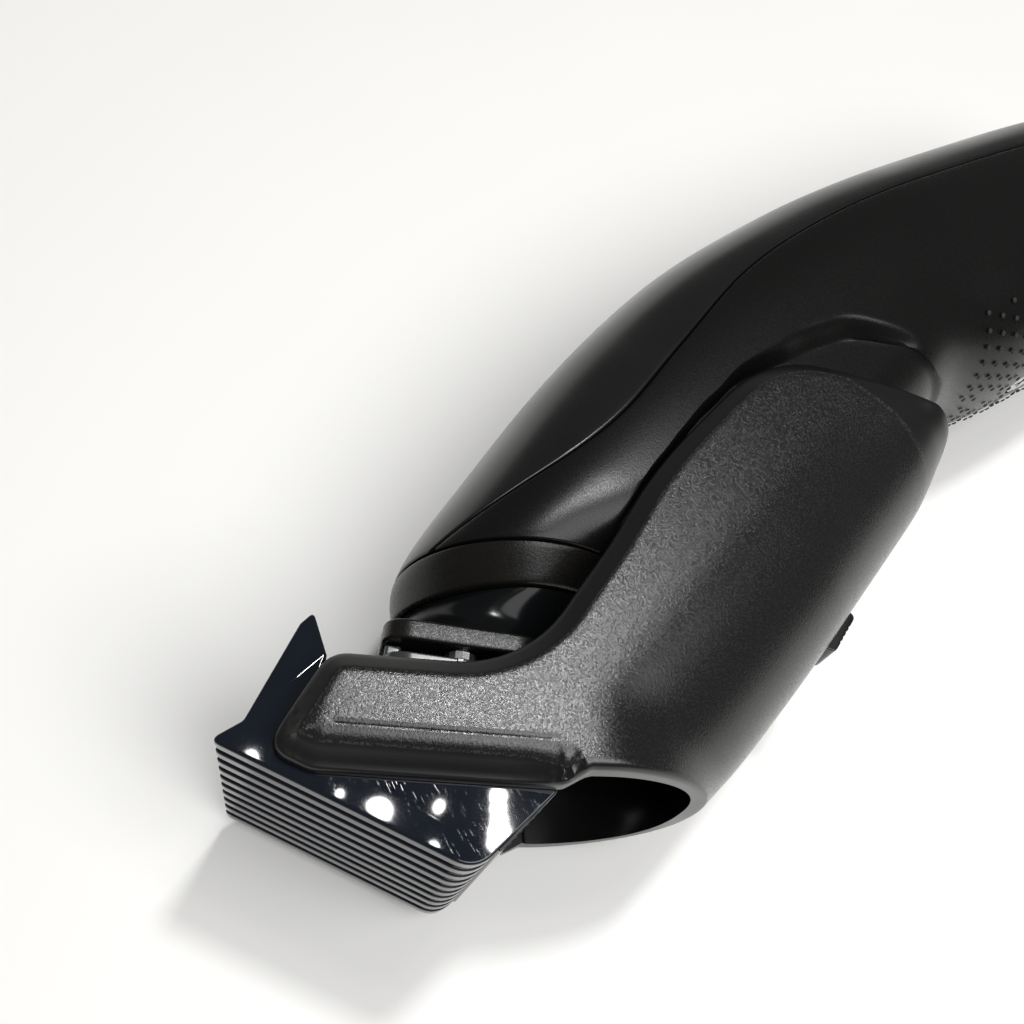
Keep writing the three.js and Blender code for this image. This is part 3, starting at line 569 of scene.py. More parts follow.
GRIP_X = [133.4, 186]
GRIP_FRONT = [127, 20]  # the pad's front edge runs from here to its top corner
GRIP_TOP, DOTS_TOP = 50, 43
GRIP_SLOPE, GRIP_CORNER = 3, 4
GRIP_PROUD, GRIP_INNER = 0.3, 0.6  # how far out and in its two faces lie
DOT_PITCH, DOT_RADIUS, DOT_HEIGHT = 2.8, 0.42, 0.2
DOT_PROFILE = [[1, -0.3], [0.95, 0.25], [0.7, 0.75], [0.3, 0.98]]
DOT_TURN = np.linspace(0, 2 * math.pi, 9)[:-1, None]


def grip_dot(skin, form, at):
    """A small dome on the grip pad at one place of a section, and its mirror image."""
    centre = form.points(np.array([[at]]), -GRIP_PROUD)[0, 0]
    if centre[2] < 1:  # it would run into its mirror image
        return
    up = form.points(np.array([[at]]), -GRIP_PROUD - 1)[0, 0] - centre
    along = np.array([1, 0, 0]) - up * up[0]
    along /= np.linalg.norm(along)
    side = np.cross(up, along)
    around = np.cos(DOT_TURN) * along + np.sin(DOT_TURN) * side
    rings = np.array(
        [centre + DOT_RADIUS * r * around + up * h * DOT_HEIGHT for r, h in DOT_PROFILE]
    )
    for mirror in ([1, 1, 1], [1, 1, -1]):
        skin.patch(rings * mirror, wrap_cols=True)
        skin.face(rings[-1] * mirror)
        skin.face(rings[0] * mirror)


def grip_pad():
    """The soft grip round the belly, with rounded corners, and rows of small round dots on it."""
    start, stop = (np.interp(x, MIDDLE[:, 0], T) for x in GRIP_X)
    t, ends = lengthwise(start, stop, 0.8, GRIP_PROUD)
    form = Sections(t)
    run = np.interp(t, T, LENGTH)
    corner = GRIP_CORNER
    close = corner - np.minimum(run - run[0], run[-1] - run).clip(0, corner)
    front = GRIP_FRONT[1] + (form.plan[..., 0] - GRIP_FRONT[0]) * GRIP_SLOPE
    edge = form.crossing(form.plan[..., 1] - np.minimum(GRIP_TOP, front))
    edge = np.minimum(edge + corner - np.sqrt(corner**2 - close**2), form.s[:, -1] - 1.5)
    at, inset = with_fillets(edge, form.s[:, -1], 40, GRIP_PROUD, (True, False))
    outer = form.points(at, np.minimum(inset + ends[:, None], GRIP_PROUD) - GRIP_PROUD)
    inner = form.points(at, GRIP_INNER)
    skin = shell(both_sides(outer, False), both_sides(inner, False))
    rows = np.arange(run[0] + 2.2, run[-1] - 2, DOT_PITCH * 0.87)
    for i, station in enumerate(rows):
        one = Sections(np.array([np.interp(station, LENGTH, T)]))
        top = one.crossing(one.plan[..., 1] - DOTS_TOP)[0]
        low = max(np.interp(station, run, edge) + 1.6, top)
        for at in np.arange(low + (i % 2) * DOT_PITCH / 2, one.s[0, -1], DOT_PITCH):
            grip_dot(skin, one, at)
    return skin.build("soft_grip_pad", sharp=50)


# -------- neck and cutting unit
# The neck's sections: [rear x, rear y, belly x, belly y, half width, squareness].
NECK_WAIST = [
    [34.4, 39.6, 48.6, 29.6, 15.8, 3.2], [35.6, 41.2, 55, 28.9, 14.9, 2.3],
    [38, 43.3, 64.6, 28.6, 15.8, 1.8],
]
NECK_SPIGOT = [[39.6, 41.7, 62.6, 29, 13.9, 1.8], [43.4, 45.2, 64.6, 33.4, 14.6, 1.9]]
NECK_WALL, NECK_EDGE = 1.6, 0.5


def neck():
    """A skewed tube with a waist, from the head plate into the head ring."""
    rows = np.vstack([catmull(NECK_WAIST, np.linspace(0, 1, 26)), NECK_SPIGOT])
    turn = np.linspace(0, 2 * math.pi, 129)[:-1]

    def ring(entry, inset):
        rear, belly = entry[:2], entry[2:4]
        across = rear - belly
        depth = np.linalg.norm(across) / 2
        u, w = superellipse(turn, 2 / entry[5])
        u, w = (depth - inset) * u, (entry[4] - inset) * w
        plan = (rear + belly) / 2 + (across / depth / 2) * u[:, None]
        return np.column_stack([plan, w])

    outer = [ring(rows[0], NECK_EDGE)] + [ring(entry, 0) for entry in rows[1:]]
    inner = [ring(entry, NECK_WALL) for entry in rows[::-1]]
    skin = Skin()
    skin.patch(np.array(outer + inner), wrap_rows=True, wrap_cols=True)
    return skin.build("neck_tube")


def head_plate():
    """The plate that closes the neck, with the drive's opening and two screw holes."""
    outline = rectangle(-9.65, -18, 9.65, 18, 3.6, 12)
    drive = circle(2.5, 0, 2.7)
    screws = [circle(0, z, 1.3, 16) for z in (15, -15)]
    return slab("head_plate_slab", [outline, drive, *screws], -2.5, 0, 0.4, HEAD_AXES, upright=True)


def cutter_frame():
    """The blade holder: a framed wall, the bar it hinges on, two ribs and two screw bosses."""
    outline = rectangle(-9.1, -17.4, 9.1, 17.4, 3.2, 12)
    window = rectangle(-7, -14.6, 4.2, 14.6, 0.5)
    parts = [slab("wall", [outline, window], -6.7, -3.9, 0.25, HEAD_AXES, upright=True)]
    bar = rectangle(-9.1, -15.4, -7.2, 15.4, 0.4)
    parts.append(slab("bar", [bar], -4.3, -2.8, 0.15, HEAD_AXES, upright=True))
    for side in (-1, 1):
        rib = rectangle(-0.6, side * 17.2 - 0.5, 0.2, side * 17.2 + 0.5, 0.12)
        parts.append(slab("rib", [rib], -6.2, -4.0, 0.08, HEAD_AXES, upright=True))
        rings = [circle(6.4, side * 12, 2.2), circle(6.4, side * 12, 0.95)]
        parts.append(slab("boss", rings, -7.5, -6.2, 0.12, HEAD_AXES, upright=True))
    return joined("blade_holder_frame", *parts)


# -------- guide comb
COMB_TOOTH = [
    [-23.5, 28, 0.8], [8.9, 28, 4], [13.6, 39.8, 0.4], [11.5, 40.6, 0.4], [7.8, 32, 2.5],
    [-15.6, 32, 3], [-16.6, 42.4, 0.6], [-20.4, 46.4, 0.5], [-21.1, 44.4, 0.8], [-21.2, 31.6, 1.5],
]
END_TOOTH = [
    [-23.5, 28, 0.8], [8.9, 28, 4], [13.6, 39.8, 1], [12.6, 42, 1], [-12.5, 32.4, 6],
    [-15.4, 33.2, 1.5], [-16.6, 42.4, 0.6], [-20.4, 46.4, 0.5], [-21.1, 44.4, 0.8],
    [-21.2, 31.6, 1.5],
]
COMB_WALL = [
    [9.7, 31.4, 0.5], [10.4, 31, 0.5], [13.5, 39.6, 0.4], [11.6, 40.4, 0.4], [8.6, 33.2, 0.5],
]
TOOTH_PITCH, TOOTH_COUNT, TOOTH_THICKNESS = 4, 10, 2.3


def guide_comb():
    """Ten plates with rounded edges, joined by the rear wall."""
    half = TOOTH_THICKNESS / 2
    parts = []
    for i in range(TOOTH_COUNT):
        outline = rounded(END_TOOTH if i in (0, TOOTH_COUNT - 1) else COMB_TOOTH, 8)
        z = (i - (TOOTH_COUNT - 1) / 2) * TOOTH_PITCH
        parts.append(slab("plate", [outline], z - half, z + half, 0.35, COMB_AXES, resolution=3))
    reach = (TOOTH_COUNT - 1) / 2 * TOOTH_PITCH + half - 0.2
    parts.append(slab("rear_wall", [rounded(COMB_WALL)], -reach, reach, 0.2, COMB_AXES))
    return joined("comb_plates", *parts)


# -------- comb carrier
# How far in from an edge each height of the carrier's side is reached, for its three kinds of edge:
# the narrow smooth rim round the arm, the deep flank under the finger, and the chute's mouth.
RIM = [[0, 21.6], [0.12, 22.15], [0.45, 22.5], [1.2, 23.1], [2, 23.72], [2.3, 23.93], [2.6, 24]]
FLANK = [
    [0, 20.05], [0.12, 20.5], [0.3, 20.75], [0.9, 21], [1.6, 21.8], [2.4, 22.9], [3.2, 23.6],
    [4, 23.86], [4.4, 23.92], [4.6, 23.86], [4.8, 23.98], [5.2, 24],
]
MOUTH = [[0, 22.6], [0.06, 23.1], [0.25, 23.5], [0.5, 23.8], [0.8, 23.95], [1.1, 24]]
EDGE_KINDS = (MOUTH, FLANK, RIM)
KIND_ENDS = ([41.5, 12.6], [14.4, 32.6])  # plan points where the mouth and the flank end
RIM_WIDTH = 2.3
BAND_WIDTHS = np.array([0.8, 2.6, RIM_WIDTH])  # of the smooth band along each kind of edge
LEVELS = [
    0.06, 0.12, 0.25, 0.45, 0.8, 1.2, 1.6, 2, 2.3, 2.6, 3.1, 3.6, 4, 4.2, 4.4, 4.6, 4.8, 5.2,
]
GRID_LEVEL = 5.6
FINGER = [[40.6, 12.4, 2], [17, 27, 4.5], [13.6, 31.4, 4], [24.4, 37.8, 4], [39.6, 28.6, 15]]
FINGER_BEND = [47.6, 28.4, 16]  # where the finger's rear edge turns into the arm's
ARM_START = 3  # the arm's edge is followed from this point of its outline on
ROUND_COUNT = 34  # points from the flat side to the mid-plane


class CarrierSections:
    """Sections of the carrier from the arm's edge round to the belly."""

    def __init__(self, t):
        self.arm, belly = catmull(ARM_EDGE, t), catmull(CARRIER_BELLY, t)
        self.reach = belly - self.arm
        self.depth = np.linalg.norm(self.reach, axis=1)[:, None]
        self.reach /= self.depth
        low, high = CARRIER_SQUARENESS
        self.square = (low + (high - low) * np.minimum(1, 2 * np.asarray(t)))[:, None]

    def arc(self, inset, half, power, count):
        """u and w from where the side stops being flat to the mid-plane."""
        start = np.arccos(FLAT_SHARE ** (1 / power))
        angle = start * (1 - np.linspace(0, 1, count))
        u = (self.depth - inset) * np.cos(angle) ** power
        w = FLAT_SIDE * np.sin(angle) ** power
        soft = (1 + w) / 2 - np.hypot((1 - w) / 2, 0.012)
        gain = smoothstep(w / 0.5)
        w = w + (soft + 1 - soft[:, :1] - w) * gain
        return u, half * np.minimum(w, 1)

    def place(self, u, w):
        return np.dstack([self.arm[:, None] + self.reach[:, None] * u[..., None], w])


def distance_to(points, line):
    """Distance from plan points to a polyline, and the index of the nearest segment."""
    start, run = line[:-1], np.diff(line, axis=0)
    size = (run**2).sum(axis=1)
    offset = points[:, None] - start[None]
    along = np.clip((offset * run[None]).sum(axis=2) / size, 0, 1)
    gap = np.linalg.norm(offset - along[..., None] * run[None], axis=2)
    nearest = gap.argmin(axis=1)
    return gap[np.arange(len(points)), nearest], nearest


def inner_height(points):
    """How far from the mid-plane the arm's inner face lies over plan points."""
    along = smoothstep((points[:, 0] - FINGER_ROOT) / FINGER_BLEND)
    return FINGER_INNER + (ARM_INNER - FINGER_INNER) * along


def carrier_half():
    """One arm with its finger, its crest line and the round of the belly, all one skin."""
    probe = CarrierSections(np.linspace(0, 1, 400))
    crest = probe.place(*probe.arc(0, HALF, 2 / probe.square, 2))[:, 0, :2]
    arm = catmull(ARM_EDGE, np.linspace(ARM_START / (len(ARM_EDGE) - 1), 1, 160))
    corners = [[*crest[0], 0], *FINGER, FINGER_BEND, [*arm[0], 0]]
    finger = rounded(corners, 10)[11:-11]
    edge = spread(np.vstack([crest[:1], finger, arm, crest[-1:]]), 0.4)
    edge = edge.astype(np.float32).astype(float)

    kinds = np.zeros((len(edge), len(EDGE_KINDS)))
    ends = [np.linalg.norm(edge - p, axis=1).argmin() for p in KIND_ENDS]
    kinds[: ends[0], 0] = kinds[ends[0] : ends[1], 1] = kinds[ends[1] :, 2] = 1
    kinds = eased(kinds, 160)

    def height(points):
        gap, nearest = distance_to(points, edge)
        share = kinds[nearest]
        heights = [np.interp(gap, *np.array(kind).T) for kind in EDGE_KINDS]
        mark = gap * RIM_WIDTH / (share @ BAND_WIDTHS)
        return (share * np.column_stack(heights)).sum(axis=1), mark, gap

    run = lengths(crest)
    near = [0, 0.06, 0.12, 0.25, 0.45, 0.8, 1.2, 1.6, 2, 2.3, 2.6, 3.2]
    stops = np.concatenate([near, np.arange(4, run[-1] - 3.8, 0.9), run[-1] - np.array(near[::-1])])
    t = np.interp(stops, run, np.linspace(0, 1, 400))
    form = CarrierSections(t)
    u, w = form.arc(0, HALF, 2 / form.square, ROUND_COUNT)
    crest = form.place(u, w)[:, 0, :2].astype(np.float32).astype(float)
    crest[0], crest[-1] = edge[0], edge[-1]
    border = np.vstack([edge, crest[-2:0:-1]])

    normal = np.gradient(edge, axis=0)
    normal = np.column_stack([normal[:, 1], -normal[:, 0]])
    normal /= np.linalg.norm(normal, axis=1)[:, None]
    if not inside(edge[60] + normal[60] * 0.5, border):
        normal = -normal
    grid = np.stack(np.meshgrid(np.arange(12, 124, 1.3), np.arange(8, 52, 1.3)), axis=-1)
    grid = grid.reshape(-1, 2)
    fill = [np.column_stack([grid, np.full(len(grid), GRID_LEVEL)])]
    fill += [np.column_stack([edge + normal * level, np.full(len(edge), level)]) for level in LEVELS]
    fill = np.vstack(fill)
    fill = fill[inside(fill[:, :2], border)]
    fill = fill[height(fill[:, :2])[2] > fill[:, 2] - 0.02]
    fill = fill[distance_to(fill[:, :2], crest)[0] > 0.25]

    points = [Vector(p) for p in np.vstack([border, fill[:, :2]])]
    loop = [(i, (i + 1) % len(border)) for i in range(len(border))]
    made, _, faces, _, _, _ = delaunay_2d_cdt(points, loop, [], 1, 1e-6, True)
    plan = np.array([p[:] for p in made])
    middles = np.array([plan[list(face)].mean(axis=0) for face in faces])
    faces = [face for face, keep in zip(faces, inside(middles, border)) if keep]
    z, mark, _ = height(plan)

    skin = Skin()
    skin.add(np.column_stack([plan, z]), faces, mark)
    skin.add(np.column_stack([plan, inner_height(plan)]), faces, np.zeros(len(plan)))
    rims = (height(edge)[0], inner_height(edge))
    wall = np.stack([np.column_stack([edge, rim]) for rim in rims])
    skin.patch(wall, marks=np.zeros(wall.shape[:2]))

    # The round of the belly: each section is set in by as much as its crest point is.
    top, mark, _ = height(crest)
    fade = 1 - 0.55 * np.linspace(0, 1, u.shape[1])
    du, dw = np.gradient(u, axis=1), np.gradient(w, axis=1)
    size = np.hypot(du, dw) + 1e-9
    drop = (HALF - top)[:, None] * fade
    blend = smoothstep(np.linspace(0, 1, u.shape[1]) / 0.12)
    nu, nw = -dw / size * blend, 1 - (1 - du / size) * blend
    size = np.hypot(nu, nw)
    outer = form.place(u - nu / size * drop, np.maximum(w - nw / size * drop, 0))
    outer[:, 0] = np.column_stack([crest, top])
    outer[:, -1, 2] = 0
    iu, iw = form.arc(CARRIER_WALL, ARM_INNER, 2 / (form.square + 0.3), ROUND_COUNT)
    iu = np.maximum(iu, u[:, :1] + 0.02 * np.arange(ROUND_COUNT))
    inner = form.place(iu, iw)
    inner[:, 0] = np.column_stack([crest, inner_height(crest)])
    inner[:, -1, 2] = 0
    marks = np.repeat(mark[:, None], u.shape[1], axis=1)
    skin.patch(outer, marks=marks)
    skin.patch(inner, marks=np.zeros(inner.shape[:2]))
    for end in (0, -1):
        skin.patch(np.stack([outer[end], inner[end]]), marks=np.zeros((2, u.shape[1])))
    return skin


def comb_carrier():
    """The carrier with its two arms, the latch's window and the lugs that hold the latch's pin."""
    skin = carrier_half()
    skin.mirrored()
    obj = skin.build("carrier_shell", sharp=50)
    window = rectangle(-4.3, -3.7, 4.3, 3.7, 0.8)
    cut(obj, slab("window", [window], -3.2, 8, NO_BEVEL, LATCH_AXES, upright=True))
    lugs = []
    for z in (-5.55, 5.55):
        rings = [rectangle(-8.9, 1.4, -5.1, 6.5, 0.6), circle(*LATCH_PIN, PIN_HOLE, 24)]
        lugs.append(slab("lug", rings, z - 0.85, z + 0.85, 0.12, LATCH_AXES))
    return joined("carrier_shell", obj, *lugs)


def length_latch():
    """The rocker: a thumb pad with fine ridges across it, an arm and the pawl at its end."""
    ridges = []
    for i in range(4):
        x = -1.35 + 0.9 * i
        ridges += [[x - 0.25, -1.2, 0.1], [x, -1.05, 0.15], [x + 0.25, -1.2, 0.1]]
    outline = rounded(
        [[-3.4, -1.2, 1.2], *ridges, [3.4, -1.2, 1.2], [3.8, 5.2, 0.6], [-12.6, 5.6, 0.3],
         [-13.5, 6.8, 0.2], [-14.5, 6.8, 0.2], [-15, 5, 0.3], [-9, 4, 1], [-3.8, 3.4, 0.4]],
        4,
    )
    arm = slab("rocker", [outline], -3.3, 3.3, 0.2, LATCH_AXES)
    boss = slab("boss", [circle(*LATCH_PIN, 1.75)], -3.28, 3.28, 0.15, LATCH_AXES)
    bore = slab("bore", [circle(*LATCH_PIN, PIN_HOLE)], -9, 9, NO_BEVEL, LATCH_AXES)
    cut(arm, boss, how="UNION")
    cut(arm, bore)
    arm.name = "latch_rocker"
    return arm


def power_slider():
    """The switch's knob with rounded ends and grooves across its top, on a flat foot."""
    grooves = []
    for i in range(4):
        x = 146.9 - 2 * i
        grooves += [
            [x + 0.35, SWITCH_TOP, 0.1], [x, SWITCH_TOP - 0.6, 0.2], [x - 0.35, SWITCH_TOP, 0.1],
        ]
    profile = [
        [138, 73.2, 0.3], [150, 73.2, 0.3], [150, SWITCH_TOP, 1.4], *grooves,
        [138, SWITCH_TOP, 1.4],
    ]
    knob = slab("knob", [rounded(profile, 5)], -4.5, 4.5, 0.4, BODY_AXES)
    foot = slab("foot", [rectangle(135, 71, 153, 73.4, 0.3)], -3, 3, 0.15, BODY_AXES)
    return joined("switch_knob", knob, foot)


def drill(x, y0, y1, radius):
    """An upright rod in the body's depth direction, for cutting a hole."""
    return slab("drill", [circle(x, 0, radius)], y0, y1, NO_BEVEL, BODY_AXES, upright=True)


def screw_drills():
    """Drills for the two housing screws, which stand in the belly."""
    return [drill(x, 20, y + 12, 3.1) for x, y in ((150, 34.5), (176, 38))]


# -------- finishes
class Shader:
    """A material whose colour, roughness and surface come from noise in the piece's own space."""

    def __init__(self, name, metallic=0, specular=0.5):
        self.material = bpy.data.materials.new(name)
        self.material.use_nodes = True
        self.tree = self.material.node_tree
        self.shader = self.tree.nodes["Principled BSDF"]
        self.shader.inputs["Metallic"].default_value = metallic
        self.shader.inputs["Specular IOR Level"].default_value = specular
        self.place = self.node("ShaderNodeTexCoord").outputs["Object"]
        self.normal = None

    def node(self, kind, **values):
        made = self.tree.nodes.new(kind)
        for key, value in values.items():
            setattr(made, key, value)
        return made

    def link(self, source, target):
        self.tree.links.new(source, target)

    def noise(self, size, detail=2, stretch=(1, 1, 1)):
        """Noise with features of about the given size, in metres."""
        mapping = self.node("ShaderNodeMapping")
        mapping.inputs["Scale"].default_value = stretch
        self.link(self.place, mapping.inputs["Vector"])
        noise = self.node("ShaderNodeTexNoise")
        noise.inputs["Scale"].default_value = 1 / size
        noise.inputs["Detail"].default_value = detail
        self.link(mapping.outputs["Vector"], noise.inputs["Vector"])
        return noise.outputs["Fac"]

    def spread(self, source, low, high, start=0.3, end=0.7):
        """Maps a value between two limits to a range."""
        step = self.node("ShaderNodeMapRange")
        limits = {"From Min": start, "From Max": end, "To Min": low, "To Max": high}
        for name, value in limits.items():
            step.inputs[name].default_value = value
        self.link(source, step.inputs["Value"])
        return step.outputs["Result"]

    def math(self, operation, a, b):
        step = self.node("ShaderNodeMath", operation=operation)
        for socket, value in zip(step.inputs, (a, b)):
            if isinstance(value, (int, float)):
                socket.default_value = value
            else:
                self.link(value, socket)
        return step.outputs[0]

    def mix(self, factor, a, b):
        """A colour between two, by a value from 0 to 1."""
        step = self.node("ShaderNodeMix", data_type="RGBA")
        self.link(factor, step.inputs["Factor"])
        for socket, colour in ((step.inputs[6], a), (step.inputs[7], b)):
            if isinstance(colour, tuple):
                socket.default_value = (*colour, 1)
            else:
                self.link(colour, socket)
        return step.outputs[2]

    def bump(self, height, depth, strength):
        step = self.node("ShaderNodeBump")
        step.inputs["Distance"].default_value = depth
        if isinstance(strength, (int, float)):
            step.inputs["Strength"].default_value = strength
        else:
            self.link(strength, step.inputs["Strength"])
        self.link(height, step.inputs["Height"])
        if self.normal is not None:
            self.link(self.normal, step.inputs["Normal"])
        self.normal = step.outputs["Normal"]

    def done(self, colour, roughness):
        self.link(colour, self.shader.inputs["Base Color"])
        self.link(roughness, self.shader.inputs["Roughness"])
        if self.normal is not None:
            self.link(self.normal, self.shader.inputs["Normal"])
        return self.material


def tinted(colour, gain):
    return tuple(gain * c for c in colour)


def moulded(name, colour, roughness, grain=0.0004, depth=0.00002, specular=0.5):
    """Plain moulded plastic: faint flow in its colour and slight unevenness in its surface."""
    look = Shader(name, specular=specular)
    fine, broad = look.noise(grain, 2), look.noise(0.012, 3)
    look.bump(fine, depth, 0.5)
    return look.done(
        look.mix(broad, tinted(colour, 0.8), tinted(colour, 1.2)),
        look.spread(broad, roughness * 0.85, roughness * 1.2),
    )


def grain_stops(look, coarse):
    """Values that are 1 on the grained panel, and 1 on a painted highlight along the panel's edge,
    broken into speckles.
    """
    edge = look.node("ShaderNodeAttribute", attribute_name="edge_distance").outputs["Fac"]
    uneven = look.math("MULTIPLY", look.math("SUBTRACT", coarse, 0.5), 0.2)
    edge = look.math("ADD", edge, uneven)
    panel = look.spread(edge, 0, 1, RIM_WIDTH - 0.08, RIM_WIDTH + 0.08)
    rising = look.spread(edge, 0, 1, RIM_WIDTH - 0.15, RIM_WIDTH)
    falling = look.spread(edge, 1, 0, RIM_WIDTH + 0.05, RIM_WIDTH + 0.2)
    patches = look.spread(look.noise(0.0003, 2), 0, 1, 0.45, 0.6)
    return panel, look.math("MULTIPLY", look.math("MULTIPLY", rising, falling), patches)


def grained(name, colour, roughness=(0.24, 0.34), depth=0.00003, specular=0.5, with_rim=False):
    """Spark-eroded satin grain, lightened at random points by painted glints. With a rim, the grain
    stops at a smooth band along the edges; that band is painted darker as shade, with a painted
    highlight along the panel's edge.
    """
    look = Shader(name, specular=specular)
    coarse, fine = look.noise(0.00026, 3), look.noise(0.00011, 1)
    height = look.math("ADD", coarse, look.math("MULTIPLY", fine, 0.5))
    painted_glints = look.spread(fine, 0, 1, 0.58, 0.72)
    broad = look.noise(0.02, 2)
    base = look.mix(broad, tinted(colour, 0.85), tinted(colour, 1.15))
    # Painted glints: random points of the grain are lightened towards 2.6 times the colour, standing
    # in for light caught by its facets.
    base = look.mix(look.math("MULTIPLY", painted_glints, 0.35), base, tinted(colour, 2.6))
    rough = look.spread(coarse, *roughness, 0.4, 0.6)
    if not with_rim:
        look.bump(height, depth, 0.8)
        return look.done(base, rough)
    panel, painted_edge_highlight = grain_stops(look, coarse)
    look.bump(height, depth, look.math("MULTIPLY", panel, 0.8))
    # Painted shade: off the grained panel, the smooth rim band is painted at 0.6 times the colour.
    base = look.mix(panel, tinted(colour, 0.6), base)
    # Painted highlight: light grey speckles along the panel's edge, where the crease between panel
    # and rim catches the light.
    base = look.mix(look.math("MULTIPLY", painted_edge_highlight, 0.18), base, (0.2, 0.2, 0.2))
    step = look.node("ShaderNodeMix", data_type="FLOAT")
    look.link(panel, step.inputs[0])
    look.link(look.spread(broad, 0.28, 0.36), step.inputs[2])
    look.link(rough, step.inputs[3])
    return look.done(base, step.outputs[0])


def gloss_comb():
    """Glossy blue-black plastic with fine scratches and a few smudges."""
    look = Shader("comb_gloss", specular=0.45)
    scratch = look.noise(0.00012, 2, (1, 0.04, 0.3))
    smudge = look.noise(0.009, 3)
    look.bump(look.noise(0.008, 1), 0.00003, 0.4)
    look.bump(look.spread(scratch, 0, 1, 0.66, 0.75), 0.000002, 0.5)
    return look.done(
        look.mix(smudge, (0.004, 0.006, 0.01), (0.007, 0.01, 0.016)),
        look.spread(smudge, 0.02, 0.034),
    )


def steel(name, colour, roughness, along=(1, 1, 1)):
    """Ground or plated steel, with its grinding marks drawn out along one direction."""
    look = Shader(name, metallic=1)
    lines, broad = look.noise(0.00012, 2, along), look.noise(0.004, 2)
    look.bump(lines, 0.000005, 0.5)
    return look.done(
        look.mix(broad, tinted(colour, 0.88), colour),
        look.spread(lines, roughness * 0.8, roughness * 1.3),
    )


def charge_light():
    """Clear green light pipe, cloudy inside."""
    look = Shader("lamp", specular=0.6)
    look.shader.inputs["Transmission Weight"].default_value = 0.5
    swirl = look.noise(0.0008, 2)
    return look.done(
        look.mix(swirl, (0.42, 0.68, 0.42), (0.55, 0.8, 0.55)),
        look.spread(swirl, 0.1, 0.2),
    )


FINISHES = {
    "satin_black": grained("satin_black", (0.0065, 0.006, 0.0055), specular=0.3),
    "carrier_black": grained(
        "carrier_black", (0.008, 0.0085, 0.0082), (0.14, 0.3), 0.000042, with_rim=True
    ),
    "housing_black": grained(
        "housing_black", (0.0045, 0.0046, 0.0044), (0.26, 0.32), 0.000014, 0.25
    ),
    "neck_black": moulded("neck_black", (0.004, 0.0044, 0.0048), 0.16, 0.002, 0.00001, specular=0.14),
    "smooth_black": moulded("smooth_black", (0.0065, 0.0067, 0.0066), 0.24, 0.0009, 0.000008),
    "comb_gloss": gloss_comb(),
    "soft_grip": moulded("soft_grip", (0.022, 0.022, 0.022), 0.6, 0.0002, 0.00002, specular=0.3),
    "smoke_grey": moulded("smoke_grey", (0.045, 0.048, 0.052), 0.22, 0.0012, 0.00001),
    "inner_plastic": moulded("inner_plastic", (0.09, 0.093, 0.098), 0.42),
    "black_nylon": moulded("black_nylon", (0.024, 0.024, 0.024), 0.45),
    "blade_steel": steel("blade_steel", (0.66, 0.66, 0.66), 0.22, (1, 1, 0.05)),
    "plated_steel": steel("plated_steel", (0.55, 0.56, 0.57), 0.3),
    "battery_wrap": moulded("battery_wrap", (0.1, 0.28, 0.18), 0.25, 0.003, 0.00004),
    "board_green": moulded("board_green", (0.03, 0.16, 0.07), 0.3, 0.0008, 0.00003),
    "lamp": charge_light(),
}

# -------- putting it together
satin, glossy = FINISHES["satin_black"], FINISHES["smooth_black"]
place(head_ring(), "housing", "satin_black", satin, "head_ring")
housing = cut(front_housing(), *screw_drills())
place(housing, "housing", "satin_black", FINISHES["housing_black"], "front_housing")
pad = cut(grip_pad(), *screw_drills())
place(pad, "housing", "soft_grip", FINISHES["soft_grip"], "grip_pad")
switch_slot = rectangle(137.5, -4.9, 154.5, 4.9, 1)
cover = cut(
    rear_cover(),
    slab("slot", [switch_slot], 70, 90, NO_BEVEL, BODY_AXES, upright=True),
    drill(164, 70, 90, 1.6),
)
place(cover, "housing", "smooth_black", glossy, "rear_cover")
place(end_cap(), "housing", "smooth_black", glossy, "end_cap")
place(neck(), "housing", "smooth_black", FINISHES["neck_black"], "neck")
place(head_plate(), "housing", "satin_black", satin, "head_plate", flat_faced=True)
holder_finish = FINISHES["smoke_grey"]
place(cutter_frame(), "housing", "smoke_grey", holder_finish, "cutter_frame", flat_faced=True)
place(power_slider(), "switch", "smooth_black", glossy, "power_slider", flat_faced=True)
place(comb_carrier(), "comb", "satin_black", FINISHES["carrier_black"], "comb_carrier")
comb_finish = FINISHES["comb_gloss"]
place(guide_comb(), "comb", "comb_gloss", comb_finish, "guide_comb", flat_faced=True)
place(length_latch(), "latch", "smooth_black", glossy, "length_latch", flat_faced=True)

slots = {part["node"]: part["material_slot"] for part in frame["record"]["subparts"]}
for name, node in frame["nodes"].items():
    node.data.materials.clear()
    node.data.materials.append(FINISHES[slots[name]])


# -------- floor, light and camera
def pale_floor(half):
    """A square of matt off-white paper under the clipper."""
    mesh = bpy.data.meshes.new("floor")
    corners = [(-half, -half, 0), (half, -half, 0), (half, half, 0), (-half, half, 0)]
    mesh.from_pydata(corners, [], [(0, 1, 2, 3)])
    floor = linked("floor", mesh)
    paper = Shader("floor_paper", specular=0.3)
    fibre = paper.noise(0.03, 2)
    colour = paper.mix(fibre, (0.925, 0.92, 0.9), (0.935, 0.93, 0.912))
    mesh.materials.append(paper.done(colour, paper.spread(fibre, 0.5, 0.56)))


def soft_world(colour, strength):
    world = bpy.data.worlds.new("studio")
    bpy.context.scene.world = world
    world.use_nodes = True
    background = world.node_tree.nodes["Background"]
    background.inputs["Color"].default_value = (*colour, 1)
    background.inputs["Strength"].default_value = strength


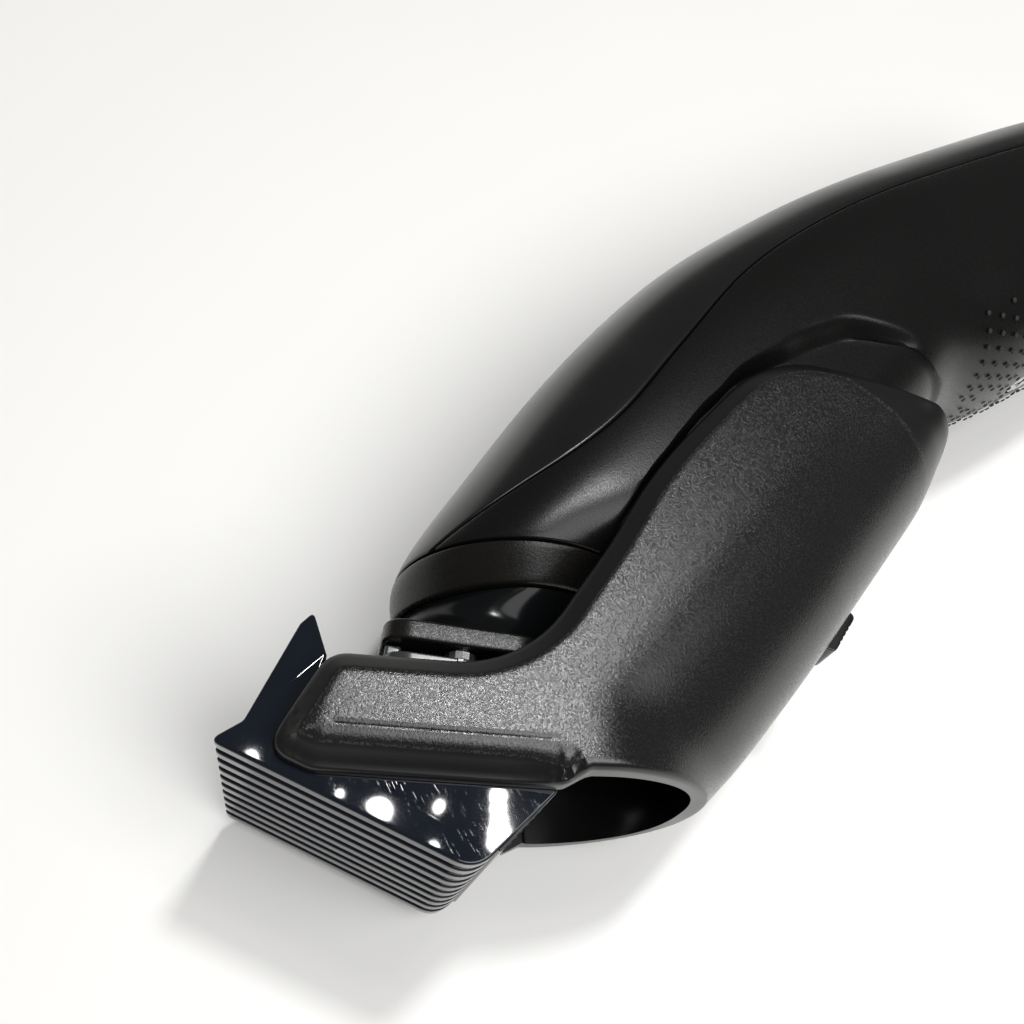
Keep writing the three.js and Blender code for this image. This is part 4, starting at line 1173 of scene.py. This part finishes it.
def lamp(name, x, y, height, size, power):
    """A soft round light over a plan point, with its height and size in metres."""
    data = bpy.data.lights.new(name, "AREA")
    data.shape = "DISK"
    data.size, data.energy = size, power
    obj = linked(name, data)
    obj.location = row([x, y, 0]) * [1, 1, 0] + np.array([0, 0, height])
    aim = Vector((0, 0, 0.02)) - obj.location
    obj.rotation_euler = aim.to_track_quat("-Z", "Y").to_euler()


def comb_turned(v):
    """A direction given in the comb's own axes, turned into the frame's."""
    c, s = math.cos(math.radians(COMB_ANGLE)), math.sin(math.radians(COMB_ANGLE))
    return Vector((c * v[0] - s * v[1], s * v[0] + c * v[1], v[2])).normalized()


def plan_camera():
    """The camera over the plan's origin."""
    data = bpy.data.cameras.new("camera")
    data.lens, data.sensor_width = LENS, SENSOR_WIDTH
    data.clip_start, data.clip_end = 0.01, 20
    camera = linked("camera", data)
    forward, right = comb_turned(CAMERA_FORWARD), comb_turned(CAMERA_RIGHT)
    pose = Matrix((right, right.cross(forward), -forward)).transposed().to_4x4()
    pose.translation = Vector([*row([0, 0, 0])[:2], CAMERA_HEIGHT])
    camera.matrix_world = pose
    bpy.context.scene.camera = camera


# Small lights whose mirror images make the comb's highlights: [x, y, size in metres].
SPOTS = [
    [284, 124, 0.018], [278, 114, 0.018], [273, 104, 0.018], [267, 94, 0.022], [262, 85, 0.022],
    [231, 145, 0.012], [180, 165, 0.026], [207, 111, 0.011], [155, 194, 0.011], [100, 264, 0.012],
]
SPOT_HEIGHT = 1.0
SPOT_BRIGHTNESS = 150  # watts per square metre of its size
LENS, SENSOR_WIDTH = 42.19, 36  # in millimetres
CAMERA_FORWARD, CAMERA_RIGHT = (-0.0342, 0.4659, -0.8842), (0.9008, 0.3976, 0.1746)
CAMERA_HEIGHT = 0.1746  # in metres above the floor

pale_floor(half=3)
soft_world((1, 0.985, 0.965), strength=0.14)
lamp("overhead", 306, 212, 1.0, 0.1, 3.9)
lamp("front_fill", 130, -240, 0.6, 0.5, 3.3)
for i, (x, y, size) in enumerate(SPOTS):
    lamp(f"spot_{i}", x, y, SPOT_HEIGHT, size, SPOT_BRIGHTNESS * size**2)
plan_camera()
bpy.context.scene.view_settings.view_transform = "Standard"
